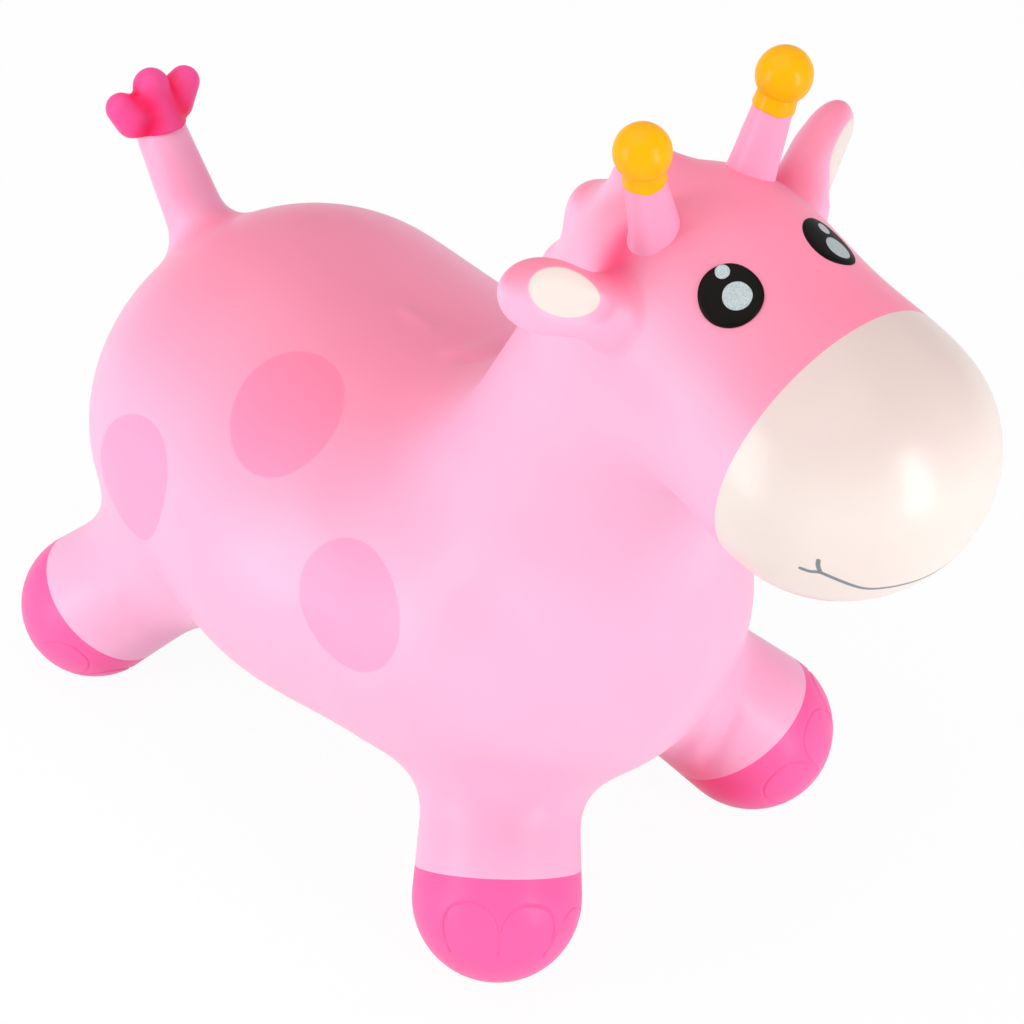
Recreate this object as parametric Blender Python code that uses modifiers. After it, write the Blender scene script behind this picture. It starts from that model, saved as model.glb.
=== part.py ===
"""Bouncy ride-on animal: an inflatable hopper of soft vinyl, shaped as a small giraffe.

The animal stands on four hooves and looks along +X. +Y is its left side and +Z is up. The floor is z = 0,
and the origin lies on the floor under the middle of the overall box. All lengths are in metres.

The real skin is one hollow vinyl moulding. Here it is parted at its paint lines and where it flexes, so
that each region can move: the neck over the torso, the hooves under the legs, and the ears, horns and tail
at their roots. The only loose pieces are the valve's collar and its plug.
"""

import math

import bmesh
import bpy
from mathutils import Matrix, Vector
from mathutils.bvhtree import BVHTree

# Skin
WALL = 0.0020
GAP = 0.0003
SOLE_WALL = 0.004

# Overall sizes of the trunk, from the rump to the tip of the muzzle
BODY_LENGTH = 0.610
BODY_HALF_WIDTH = 0.143
CROWN_HEIGHT = 0.488

# Places are shares of these three: x of BODY_LENGTH from the rump's rear end, y of BODY_HALF_WIDTH
# and z of CROWN_HEIGHT. The first one puts the origin under the middle of the overall box.
REAR_SHARE = 0.477

# Rump: the rounded rear end
RUMP_RADIUS_X = 0.123
RUMP_RADIUS_Y = 0.133
RUMP_RADIUS_Z = 0.122
RUMP_HEIGHT = 0.163

# Muzzle: the rounded front end, which dips forward
MUZZLE_RADIUS_X = 0.0695
MUZZLE_RADIUS_Y = 0.0755
MUZZLE_RADIUS_Z = 0.0685
MUZZLE_CENTRE_SHARES = (0.8885, 0.0, 0.7951)
MUZZLE_DIP = math.radians(30.5)
MUZZLE_LINE_BACK = 0.0133
MUZZLE_LINE_TILT = math.radians(7)

# Sections between them: back line x and z, belly line x and z, half width
SECTION_SHARES = (
    (0.216, 0.581, 0.216, 0.080, 0.955),
    (0.299, 0.566, 0.299, 0.077, 1.000),
    (0.381, 0.550, 0.381, 0.079, 1.010),
    (0.447, 0.560, 0.447, 0.086, 0.950),
    (0.499, 0.602, 0.540, 0.091, 0.870),
    (0.504, 0.611, 0.664, 0.141, 0.785),
    (0.508, 0.616, 0.733, 0.287, 0.630),
    (0.512, 0.622, 0.722, 0.452, 0.515),
    (0.524, 0.650, 0.721, 0.525, 0.480),
    (0.559, 0.722, 0.757, 0.633, 0.425),
    (0.593, 0.829, 0.777, 0.664, 0.430),
    (0.608, 0.915, 0.779, 0.665, 0.447),
    (0.669, 0.998, 0.782, 0.667, 0.482),
    (0.785, 0.990, 0.785, 0.669, 0.488),
    (0.850, 0.957, 0.789, 0.669, 0.498),
    (0.904, 0.937, 0.792, 0.669, 0.515),
    (0.939, 0.918, 0.815, 0.669, 0.528),
)
RUMP_RING_SHARES = (-0.975, -0.866, -0.655, -0.320)
MUZZLE_RING_SHARES = (0.29, 0.59, 0.81, 0.94)

# Neck: the stretch that bends when the head nods, between two slanted cuts
NECK_LOW_SHARES = (0.6279, 0.0, 0.5861)
NECK_HIGH_SHARES = (0.6689, 0.0, 0.6783)
NECK_TILT = math.radians(27)

# Legs: the hoof's centre, and the point inside the torso that the leg aims at
FRONT_HOOF_RADIUS = 0.0468
FRONT_HOOF_SHARES = (0.6607, 0.6853)
FRONT_ROOT_SHARES = (0.5607, 0.2587, 0.2469)
REAR_HOOF_RADIUS = 0.0455
REAR_HOOF_SHARES = (0.1033, 0.8462)
REAR_ROOT_SHARES = (0.2230, 0.4126, 0.2520)
SOLE_DEPTH = 0.0045
HOOF_LINE = 0.010
LEG_WAIST_RADIUS = 0.0405
LEG_FLARE = 0.009
LEG_FLARE_LENGTH = 0.028
LEG_INSET = 0.038
LEG_BORE_RADIUS = 0.030

# Horns
HORN_SHARES = (0.7246, 0.2441, 1.0)
HORN_LEAN_OUT = math.radians(13.6)
HORN_LEAN_FORWARD = math.radians(2.6)
HORN_ROOT_RADIUS = 0.0117
HORN_TOP_RADIUS = 0.0098
HORN_HEIGHT = 0.0378
KNOB_RADIUS = 0.0136
KNOB_COLLAR_RADIUS = 0.0099
KNOB_COLLAR_HEIGHT = 0.0075
HORN_WALL = 0.0022

# Ears
EAR_AIM_SHARES = (0.7536, 0.0, 0.8352)
EAR_SWEEP = math.radians(18)
EAR_LIFT = math.radians(30)
EAR_ROOT_RADIUS = 0.0150
EAR_LENGTH = 0.0525
EAR_WIDTH = 0.038
EAR_THICKNESS = 0.025
EAR_NECK = 0.0095
EAR_DISH_DEPTH = 0.0030
EAR_DISH_LENGTH = 0.038
EAR_DISH_WIDTH = 0.023

# Tail
TAIL_AIM_SHARES = (0.1066, 0.0, 0.3893)
TAIL_LEAN = math.radians(31.6)
TAIL_ROOT_RADIUS = 0.0185
TAIL_TOP_RADIUS = 0.0150
TAIL_LENGTH = 0.066
TUFT_RADIUS = 0.0150
TUFT_HEIGHT = 0.0400
TUFT_LOBE_RADIUS = 0.0135
TUFT_LOBE_HEIGHT = 0.0290
TUFT_SPREAD = 0.0195
TUFT_LOBE_RISE = 0.0200

# Eyes: round raised patches
EYE_SHARES = (0.8049, 0.2217, 1.0)
EYE_RADIUS = 0.0160
EYE_RAISE = 0.0014
EYE_TURN = math.radians(38)
EYE_LIFT = math.radians(48)

# Mane: a row of lobes over the crown and down the back of the head
MANE_CENTRE_SHARES = (0.7295, 0.0, 0.8197)
MANE_REACH = 0.034
MANE_HALF_THICKNESS = 0.0150
MANE_DEPTH = 0.0080
# Along the crest: angle about the centre in degrees, share of MANE_REACH, share of the half thickness
MANE_SHARES = (
    (106, 0.08, 0.60),
    (112, 0.20, 0.90),
    (120, 0.20, 0.95),
    (129, 0.12, 0.85),
    (138, 0.24, 0.95),
    (147, 0.44, 1.00),
    (156, 0.60, 1.00),
    (165, 0.67, 1.00),
    (173, 0.62, 0.90),
    (181, 0.86, 1.00),
    (188, 0.96, 1.00),
    (195, 0.76, 0.90),
)

# Air valve under the belly
VALVE_SHARES = (0.3689, 0.0, 0.0)
VALVE_COLLAR_RADIUS = 0.0100
VALVE_COLLAR_HEIGHT = 0.0070
VALVE_BORE_RADIUS = 0.0042
VALVE_CLEARANCE = 0.0003
PLUG_HEAD_RADIUS = 0.0080
PLUG_HEAD_HEIGHT = 0.0020
PLUG_LENGTH = 0.0120
PLUG_TIP_RADIUS = 0.0031

# How far an ear, a horn or the tail can lean in its root
FLEX_ANGLE = math.radians(14)

# Facets
RING_POINTS = 14
LEG_FACETS = 16
STALK_FACETS = 16
SOCKET_FACETS = 32
BALL_RINGS = 6
CUT_OVERRUN = 0.030

PINK = (1.0, 0.36, 0.56, 1.0)
CREAM = (0.95, 0.86, 0.78, 1.0)
MAGENTA = (1.0, 0.13, 0.45, 1.0)
YELLOW = (1.0, 0.58, 0.0, 1.0)
RASPBERRY = (1.0, 0.03, 0.16, 1.0)
BLACK = (0.01, 0.01, 0.012, 1.0)
CLEAR_GREY = (0.75, 0.74, 0.74, 1.0)

UP = Vector((0, 0, 1))
SIDES = (("right", -1), ("left", 1))


def place_at(shares, side=1):
    """The point at shares of the body's length, half width and crown height, on one side."""
    along, across, up = shares
    return Vector((BODY_LENGTH * (along - REAR_SHARE), side * BODY_HALF_WIDTH * across, CROWN_HEIGHT * up))


def clear_scene():
    for obj in list(bpy.data.objects):
        bpy.data.objects.remove(obj, do_unlink=True)


def collection(name):
    made = bpy.data.collections.new(name)
    bpy.context.scene.collection.children.link(made)
    return made


def material(name, colour, roughness):
    made = bpy.data.materials.new(name)
    made.use_nodes = True
    shader = made.node_tree.nodes["Principled BSDF"]
    shader.inputs["Base Color"].default_value = colour
    shader.inputs["Roughness"].default_value = roughness
    return made


def add_object(name, mesh, finish=None, parent=None):
    """A part where a finish is given, and a hidden cutter otherwise."""
    obj = bpy.data.objects.new(name, mesh)
    (PARTS if finish else CUTTERS).objects.link(obj)
    if finish:
        mesh.materials.clear()
        mesh.materials.append(finish)
        mesh.shade_smooth()
    else:
        obj.hide_render = True
        obj.display_type = "WIRE"
    obj.parent = parent
    return obj


def pivot(name, point, direction=UP):
    """An empty on a joint, with its +Z along the piece that it carries."""
    empty = bpy.data.objects.new(name, None)
    PARTS.objects.link(empty)
    empty.matrix_world = placed(point, direction)
    return empty


def placed(point, direction):
    """A frame at point with +Z along direction and +X kept level with the world's."""
    z_axis = direction.normalized()
    y_axis = z_axis.cross(Vector((1, 0, 0))).normalized()
    x_axis = y_axis.cross(z_axis)
    turn = Matrix((x_axis, y_axis, z_axis)).transposed().to_4x4()
    return Matrix.Translation(point) @ turn


def mesh_of(bm, name, recalculate=True):
    if recalculate:
        bmesh.ops.recalc_face_normals(bm, faces=bm.faces)
    mesh = bpy.data.meshes.new(name)
    bm.to_mesh(mesh)
    bm.free()
    return mesh


def evaluated_mesh(obj):
    bpy.context.view_layer.update()
    return bpy.data.meshes.new_from_object(obj.evaluated_get(bpy.context.evaluated_depsgraph_get()))


def combine(obj, other, operation):
    modifier = obj.modifiers.new(operation.lower(), "BOOLEAN")
    modifier.operation = operation
    modifier.object = other
    modifier.solver = "EXACT"
    return obj


def ball(name, centre, radii, turn=None, facets=STALK_FACETS, finish=None):
    """A sphere scaled to three radii, turned about its centre and baked in place."""
    bm = bmesh.new()
    bmesh.ops.create_uvsphere(bm, u_segments=facets, v_segments=facets // 2, radius=1)
    bmesh.ops.scale(bm, vec=radii, verts=bm.verts)
    matrix = Matrix.Translation(centre) @ (turn or Matrix.Identity(4))
    bmesh.ops.transform(bm, matrix=matrix, verts=bm.verts)
    return add_object(name, mesh_of(bm, name), finish)


def rod(name, start, end, radius, end_radius=None, facets=STALK_FACETS):
    """A cutter between two points."""
    axis = end - start
    bm = bmesh.new()
    bmesh.ops.create_cone(bm, cap_ends=True, segments=facets, radius1=radius,
                          radius2=radius if end_radius is None else end_radius, depth=axis.length)
    bmesh.ops.transform(bm, matrix=placed((start + end) / 2, axis), verts=bm.verts)
    return add_object(name, mesh_of(bm, name))


def turned(name, profile, closed, facets, finish, parent):
    """A profile of (radius, height) points, turned about its parent's +Z."""
    bm = bmesh.new()
    verts = [bm.verts.new((radius, 0, height)) for radius, height in profile]
    for first, second in zip(verts, verts[1:]):
        bm.edges.new((first, second))
    if closed:
        bm.edges.new((verts[-1], verts[0]))
    mesh = bpy.data.meshes.new(name)
    bm.to_mesh(mesh)
    bm.free()
    obj = add_object(name, mesh, finish, parent)
    screw = obj.modifiers.new("turn", "SCREW")
    screw.axis = "Z"
    screw.steps = facets
    screw.render_steps = facets
    screw.use_merge_vertices = True
    screw.merge_threshold = GAP / 10
    screw.use_smooth_shade = True
    return obj


def arc(radius, centre_height, first, last, steps):
    """Points of a profile on a circle about the axis, from angle first to last above the level."""
    points = []
    for step in range(steps + 1):
        angle = first + (last - first) * step / steps
        points.append((radius * math.cos(angle), centre_height + radius * math.sin(angle)))
    return points


def ring(top, bottom, half_width):
    """One elliptic section of the cage, a little larger to make up for the smoothing."""
    grow = 4 / (3 + math.cos(math.tau / RING_POINTS))
    middle = (top + bottom) / 2
    rise = (top - bottom) / 2 * grow
    side = Vector((0, half_width * grow, 0))
    points = []
    for step in range(RING_POINTS):
        angle = math.tau * step / RING_POINTS
        points.append(middle + rise * math.cos(angle) + side * math.sin(angle))
    return points


def cap_ring(centre, axis, up, radii, share):
    """A section across an ellipsoid, at a share of its radius along the axis."""
    shrink = math.sqrt(1 - share * share)
    middle = centre + axis * radii[0] * share
    return ring(middle + up * radii[2] * shrink, middle - up * radii[2] * shrink, radii[1] * shrink)


def lofted(name, rings, tips):
    """A closed skin through rings of points, drawn to a tip at each end."""
    bm = bmesh.new()
    loops = [[bm.verts.new(point) for point in points] for points in rings]
    for near, far in zip(loops, loops[1:]):
        for step in range(RING_POINTS):
            after = (step + 1) % RING_POINTS
            bm.faces.new((near[step], near[after], far[after], far[step]))
    for loop, tip in zip((loops[0], loops[-1]), tips):
        pole = bm.verts.new(tip)
        for step in range(RING_POINTS):
            bm.faces.new((loop[step], pole, loop[(step + 1) % RING_POINTS]))
    return mesh_of(bm, name)


def trunk_mesh():
    """The whole outer surface from the rump to the muzzle: a loft cage, smoothed.

    It is split into triangles, so that the skin and every cutter made from it have the same facets.
    """
    rump = Vector((RUMP_RADIUS_X - BODY_LENGTH * REAR_SHARE, 0, RUMP_HEIGHT))
    muzzle = place_at(MUZZLE_CENTRE_SHARES)
    forward = Vector((1, 0, 0))
    dip = Vector((math.cos(MUZZLE_DIP), 0, -math.sin(MUZZLE_DIP)))
    lift = Vector((math.sin(MUZZLE_DIP), 0, math.cos(MUZZLE_DIP)))
    rump_radii = (RUMP_RADIUS_X, RUMP_RADIUS_Y, RUMP_RADIUS_Z)
    muzzle_radii = (MUZZLE_RADIUS_X, MUZZLE_RADIUS_Y, MUZZLE_RADIUS_Z)
    rings = [cap_ring(rump, forward, UP, rump_radii, share) for share in RUMP_RING_SHARES]
    for top_x, top_z, bottom_x, bottom_z, width in SECTION_SHARES:
        top = place_at((top_x, 0, top_z))
        bottom = place_at((bottom_x, 0, bottom_z))
        rings.append(ring(top, bottom, BODY_HALF_WIDTH * width))
    rings += [cap_ring(muzzle, dip, lift, muzzle_radii, share) for share in MUZZLE_RING_SHARES]
    tips = (rump - forward * RUMP_RADIUS_X, muzzle + dip * MUZZLE_RADIUS_X)
    cage = add_object("trunk_cage", lofted("trunk_cage", rings, tips))
    smooth = cage.modifiers.new("smooth", "SUBSURF")
    smooth.levels = 1
    smooth.render_levels = 1
    mesh = evaluated_mesh(cage)
    bm = bmesh.new()
    bm.from_mesh(mesh)
    bmesh.ops.triangulate(bm, faces=bm.faces)
    bm.to_mesh(mesh)
    bm.free()
    return mesh


def clear_of_trunk():
    """The trunk's outer surface, grown by the gap that every piece on it keeps."""
    cutter = add_object("trunk_cutter", TRUNK.copy())
    grow = cutter.modifiers.new("grow", "DISPLACE")
    grow.strength = GAP
    grow.mid_level = 0
    return cutter


def on_trunk(start, towards):
    """Where a line meets the trunk's surface, and the surface's direction there."""
    point, normal, _index, _distance = TRUNK_TREE.ray_cast(start, (towards - start).normalized())
    return point, normal


def skin_region(name, cuts, finish, parent=None):
    """The trunk's skin between slanted cuts: (point, direction to the kept side)."""
    bm = bmesh.new()
    bm.from_mesh(TRUNK)
    for point, keep in cuts:
        geometry = bm.verts[:] + bm.edges[:] + bm.faces[:]
        bmesh.ops.bisect_plane(bm, geom=geometry, plane_co=point + keep.normalized() * GAP / 2,
                               plane_no=keep, clear_inner=True)
    obj = add_object(name, mesh_of(bm, name, recalculate=False), finish)
    shell = obj.modifiers.new("wall", "SOLIDIFY")
    shell.thickness = WALL
    shell.offset = -1
    shell.use_even_offset = True
    if parent:
        obj.data.transform(parent.matrix_world.inverted())
        obj.parent = parent
    return obj


def leg_and_hoof(end, side_name, side, radius, hoof_shares, root_shares):
    """A hollow leg that runs into the torso, and the hoof cup under its paint line."""
    centre = place_at((*hoof_shares, 0), side) + UP * (radius - SOLE_DEPTH)
    aim = place_at(root_shares, side) - centre
    place = placed(centre, aim)
    name = f"{end}_{side_name}"
    surface, _normal = on_trunk(centre, centre + aim)
    reach = (surface - centre).length
    line = HOOF_LINE + GAP / 2
    flare = LEG_WAIST_RADIUS + LEG_FLARE
    outer = [(flare, reach + LEG_INSET), (flare, reach), (LEG_WAIST_RADIUS, reach - LEG_FLARE_LENGTH),
             (radius, line)]
    inner = [(r - WALL, h) for r, h in reversed(outer)]
    holder = pivot(f"{name}_leg_axis", centre, aim)
    leg = turned(f"leg_{name}", outer + inner, True, LEG_FACETS, VINYL, holder)
    combine(leg, TRUNK_CUTTER, "DIFFERENCE")

    bore = rod(f"leg_bore_{name}", centre, centre + aim.normalized() * (reach + CUT_OVERRUN), LEG_BORE_RADIUS)
    combine(TORSO, bore, "DIFFERENCE")

    cup = bmesh.new()
    bmesh.ops.create_uvsphere(cup, u_segments=LEG_FACETS, v_segments=2 * BALL_RINGS, radius=radius)
    bmesh.ops.transform(cup, matrix=place, verts=cup.verts)
    rim = centre + aim.normalized() * (HOOF_LINE - GAP / 2)
    for point, keep in ((rim, -aim), (Vector((0, 0, 0)), UP)):
        geometry = cup.verts[:] + cup.edges[:] + cup.faces[:]
        cut = bmesh.ops.bisect_plane(cup, geom=geometry, plane_co=point, plane_no=keep, clear_inner=True)
        edges = [item for item in cut["geom_cut"] if isinstance(item, bmesh.types.BMEdge)]
        bmesh.ops.contextual_create(cup, geom=edges)
    on_joint = pivot(f"hoof_{name}_travel", centre)
    cup_mesh = mesh_of(cup, f"hoof_{name}")
    cup_mesh.transform(on_joint.matrix_world.inverted())
    hoof = add_object(f"hoof_{name}", cup_mesh, HOOF_PAINT, on_joint)

    hollow = bmesh.new()
    bmesh.ops.create_uvsphere(hollow, u_segments=LEG_FACETS, v_segments=2 * BALL_RINGS, radius=radius - WALL)
    bmesh.ops.transform(hollow, matrix=place, verts=hollow.verts)
    geometry = hollow.verts[:] + hollow.edges[:] + hollow.faces[:]
    floor = Vector((0, 0, SOLE_WALL))
    cut = bmesh.ops.bisect_plane(hollow, geom=geometry, plane_co=floor, plane_no=UP, clear_inner=True)
    edges = [item for item in cut["geom_cut"] if isinstance(item, bmesh.types.BMEdge)]
    bmesh.ops.contextual_create(hollow, geom=edges)
    combine(hoof, add_object(f"hoof_hollow_{name}", mesh_of(hollow, "hollow")), "DIFFERENCE")


def root_socket(name, carrier, axis, root_radius):
    """A round socket in the skin, opened outwards so that the piece in it can lean."""
    radius = root_radius + GAP
    mouth = radius + root_radius * math.tan(FLEX_ANGLE)
    profile = [(0, root_radius), (mouth, root_radius)] + arc(radius, 0, 0, -math.pi / 2, BALL_RINGS)
    profile[-1] = (0, profile[-1][1])
    combine(carrier, turned(f"{name}_socket", profile, False, SOCKET_FACETS, None, axis), "DIFFERENCE")


def stalk(name, carrier, point, direction, root_radius, top_radius, length, wall, finish):
    """A hollow stalk whose round root turns in a socket of its own size in the skin."""
    axis = pivot(f"{name}_root", point, direction)
    low = math.radians(-50)
    outer = [(top_radius, length - GAP / 2)] + arc(root_radius, 0, FLEX_ANGLE, low, BALL_RINGS)
    inner = arc(root_radius - wall, 0, low, FLEX_ANGLE, BALL_RINGS) + [(top_radius - wall, length - GAP / 2)]
    turned(name, outer + inner, True, STALK_FACETS, finish, axis)
    root_socket(name, carrier, axis, root_radius)
    return axis


def horn(side_name, side):
    direction = Vector((math.tan(HORN_LEAN_FORWARD), side * math.tan(HORN_LEAN_OUT), 1)).normalized()
    above = place_at(HORN_SHARES, side) + direction * HORN_HEIGHT
    point, _normal = on_trunk(above, above - direction)
    axis = stalk(f"horn_{side_name}", HEAD, point, direction, HORN_ROOT_RADIUS, HORN_TOP_RADIUS,
                 HORN_HEIGHT, HORN_WALL, VINYL)
    ball_height = HORN_HEIGHT + KNOB_COLLAR_HEIGHT + math.sqrt(KNOB_RADIUS ** 2 - KNOB_COLLAR_RADIUS ** 2)
    low = -math.acos(KNOB_COLLAR_RADIUS / KNOB_RADIUS)
    inner_radius = KNOB_RADIUS - HORN_WALL
    inner_collar = KNOB_COLLAR_RADIUS - HORN_WALL
    inner_low = -math.acos(inner_collar / inner_radius)
    bottom = HORN_HEIGHT + GAP / 2
    profile = arc(KNOB_RADIUS, ball_height, math.pi / 2, low, BALL_RINGS)
    profile += [(KNOB_COLLAR_RADIUS, bottom), (inner_collar, bottom)]
    profile += arc(inner_radius, ball_height, inner_low, math.pi / 2, BALL_RINGS)
    profile[0] = (0, profile[0][1])
    profile[-1] = (0, profile[-1][1])
    turned(f"horn_knob_{side_name}", profile, False, STALK_FACETS, KNOB_PAINT, axis)


def ear(side_name, side):
    """A dished paddle on a short round root."""
    level = Vector((math.sin(-EAR_SWEEP), side * math.cos(EAR_SWEEP), 0))
    direction = (level * math.cos(EAR_LIFT) + UP * math.sin(EAR_LIFT)).normalized()
    inside = place_at(EAR_AIM_SHARES)
    outside = inside + direction * BODY_HALF_WIDTH
    point, _normal = on_trunk(outside, inside)
    axis = pivot(f"ear_{side_name}_root", point, direction)
    across = (UP - direction * UP.dot(direction)).normalized()
    front = direction.cross(across) * side
    turn = Matrix((front, across * side, direction)).transposed().to_4x4()
    middle = point + direction * (EAR_NECK + EAR_LENGTH / 2)
    radii = (EAR_THICKNESS / 2, EAR_WIDTH / 2, EAR_LENGTH / 2)
    paddle = ball(f"ear_{side_name}", middle, radii, turn, STALK_FACETS, VINYL)
    neck_end = point + direction * (EAR_NECK + EAR_LENGTH / 4)
    root = rod(f"ear_neck_{side_name}", point, neck_end, EAR_ROOT_RADIUS, EAR_THICKNESS / 2)
    combine(paddle, root, "UNION")
    combine(paddle, ball(f"ear_ball_{side_name}", point, (EAR_ROOT_RADIUS,) * 3), "UNION")
    dish_centre = middle + front * EAR_THICKNESS / 2
    dish_radii = (EAR_DISH_DEPTH, EAR_DISH_WIDTH / 2, EAR_DISH_LENGTH / 2)
    combine(paddle, ball(f"ear_dish_{side_name}", dish_centre, dish_radii, turn), "DIFFERENCE")
    mesh = evaluated_mesh(paddle)
    paddle.modifiers.clear()
    mesh.transform(axis.matrix_world.inverted())
    paddle.data = mesh
    paddle.parent = axis
    root_socket(f"ear_{side_name}", HEAD, axis, EAR_ROOT_RADIUS)


def tail():
    direction = Vector((-math.sin(TAIL_LEAN), 0, math.cos(TAIL_LEAN)))
    aim = place_at(TAIL_AIM_SHARES)
    point, _normal = on_trunk(aim + direction * BODY_HALF_WIDTH, aim)
    axis = stalk("tail_stem", TORSO, point, direction, TAIL_ROOT_RADIUS, TAIL_TOP_RADIUS,
                 TAIL_LENGTH, WALL, VINYL)
    base = point + direction * (TAIL_LENGTH + GAP / 2)
    turn = placed(Vector((0, 0, 0)), direction)
    middle = base + direction * (TUFT_HEIGHT / 2 + GAP)
    tuft = ball("tail_tuft", middle, (TUFT_RADIUS, TUFT_RADIUS, TUFT_HEIGHT / 2), turn, STALK_FACETS, TUFT_PAINT)
    for side_name, side in SIDES:
        centre = base + direction * TUFT_LOBE_RISE + Vector((0, side * TUFT_SPREAD, 0))
        radii = (TUFT_LOBE_RADIUS, TUFT_LOBE_RADIUS, TUFT_LOBE_HEIGHT / 2)
        combine(tuft, ball(f"tuft_lobe_{side_name}", centre, radii, turn), "UNION")
    combine(tuft, rod("tuft_collar", base, middle, TAIL_TOP_RADIUS, TUFT_LOBE_RADIUS), "UNION")
    mesh = evaluated_mesh(tuft)
    tuft.modifiers.clear()
    mesh.transform(axis.matrix_world.inverted())
    tuft.data = mesh
    tuft.parent = axis


def eye(side_name, side):
    """A round patch of skin that stands a little proud of the head."""
    level = Vector((math.cos(EYE_TURN), side * math.sin(EYE_TURN), 0))
    facing = level * math.cos(EYE_LIFT) + UP * math.sin(EYE_LIFT)
    above = place_at(EYE_SHARES, side) + UP * EYE_RADIUS
    point, _normal = on_trunk(above, above - UP)
    patch = add_object(f"eye_{side_name}", TRUNK.copy(), EYE_PAINT)
    grow = patch.modifiers.new("grow", "DISPLACE")
    grow.strength = EYE_RAISE + GAP
    grow.mid_level = 0
    combine(patch, TRUNK_CUTTER, "DIFFERENCE")
    depth = facing * EYE_RADIUS
    outline = rod(f"eye_outline_{side_name}", point - depth, point + depth, EYE_RADIUS)
    combine(patch, outline, "INTERSECT")
    mesh = evaluated_mesh(patch)
    patch.modifiers.clear()
    mesh.transform(HEAD_AXIS.matrix_world.inverted())
    patch.data = mesh
    patch.parent = HEAD_AXIS


def mane():
    """A soft crest over the crown and down the back of the head, with shallow lobes along it."""
    centre = place_at(MANE_CENTRE_SHARES)
    rings = []
    for angle, reach_share, width_share in MANE_SHARES:
        turn = math.radians(angle)
        outwards = Vector((math.cos(turn), 0, math.sin(turn)))
        point, _normal = on_trunk(centre + outwards * BODY_HALF_WIDTH, centre)
        top = point + outwards * MANE_REACH * reach_share
        rings.append(ring(top, point - outwards * MANE_DEPTH, MANE_HALF_THICKNESS * width_share))
    middles = [sum(points, Vector()) / RING_POINTS for points in rings]
    tips = (middles[0] + (middles[0] - middles[1]) / 2, middles[-1] + (middles[-1] - middles[-2]) / 2)
    crest = add_object("mane_crest", lofted("mane_crest", rings, tips), VINYL)
    combine(crest, TRUNK_CUTTER, "DIFFERENCE")
    mesh = evaluated_mesh(crest)
    crest.modifiers.clear()
    mesh.transform(HEAD_AXIS.matrix_world.inverted())
    crest.data = mesh
    crest.parent = HEAD_AXIS


def valve():
    """The collar set in the belly's skin, and the plug that pulls out of it downwards."""
    below = place_at(VALVE_SHARES) - UP * CUT_OVERRUN
    point, _normal = on_trunk(below, below + UP)
    seat = point - UP * PLUG_HEAD_HEIGHT
    down = -UP
    axis = pivot("valve_plug_travel", seat, down)
    hole = rod("valve_hole", seat - down * CUT_OVERRUN, seat + down * CUT_OVERRUN, VALVE_COLLAR_RADIUS + GAP)
    combine(TORSO, hole, "DIFFERENCE")
    lip = PLUG_HEAD_HEIGHT
    collar = [(VALVE_BORE_RADIUS, 0), (VALVE_COLLAR_RADIUS, 0), (VALVE_COLLAR_RADIUS, -VALVE_COLLAR_HEIGHT),
              (VALVE_BORE_RADIUS, -VALVE_COLLAR_HEIGHT)]
    turned("valve_collar", collar, True, STALK_FACETS, CLEAR_VINYL, axis)
    stem = VALVE_BORE_RADIUS - VALVE_CLEARANCE
    plug = [(0, lip + GAP), (PLUG_HEAD_RADIUS, lip + GAP), (PLUG_HEAD_RADIUS, GAP), (stem, GAP),
            (PLUG_TIP_RADIUS, GAP - PLUG_LENGTH), (0, GAP - PLUG_LENGTH)]
    turned("valve_plug", plug, False, STALK_FACETS, CLEAR_VINYL, axis)


clear_scene()
PARTS = collection("bouncy_ride_on_animal")
CUTTERS = collection("cutters")
VINYL = material("pink_vinyl", PINK, 0.35)
MUZZLE_PAINT = material("cream_vinyl", CREAM, 0.3)
HOOF_PAINT = material("magenta_vinyl", MAGENTA, 0.35)
KNOB_PAINT = material("yellow_vinyl", YELLOW, 0.3)
TUFT_PAINT = material("raspberry_vinyl", RASPBERRY, 0.35)
EYE_PAINT = material("black_vinyl", BLACK, 0.2)
CLEAR_VINYL = material("grey_vinyl", CLEAR_GREY, 0.4)

TRUNK = trunk_mesh()
tree_source = bmesh.new()
tree_source.from_mesh(TRUNK)
TRUNK_TREE = BVHTree.FromBMesh(tree_source)
tree_source.free()
TRUNK_CUTTER = clear_of_trunk()

NECK_UP = Vector((math.sin(NECK_TILT), 0, math.cos(NECK_TILT)))
NECK_LOW = place_at(NECK_LOW_SHARES)
NECK_HIGH = place_at(NECK_HIGH_SHARES)
MUZZLE_FORWARD = Vector((math.cos(MUZZLE_LINE_TILT), 0, -math.sin(MUZZLE_LINE_TILT)))
MUZZLE_LINE = place_at(MUZZLE_CENTRE_SHARES) - MUZZLE_FORWARD * MUZZLE_LINE_BACK
HEAD_AXIS = pivot("head_nod_axis", (NECK_LOW + NECK_HIGH) / 2)

TORSO = skin_region("torso_skin", [(NECK_LOW, -NECK_UP)], VINYL)
skin_region("neck_skin", [(NECK_LOW, NECK_UP), (NECK_HIGH, -NECK_UP)], VINYL)
HEAD = skin_region("head_skin", [(NECK_HIGH, NECK_UP), (MUZZLE_LINE, -MUZZLE_FORWARD)], VINYL, HEAD_AXIS)
skin_region("muzzle", [(MUZZLE_LINE, MUZZLE_FORWARD), (NECK_HIGH, NECK_UP)], MUZZLE_PAINT, HEAD_AXIS)

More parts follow.
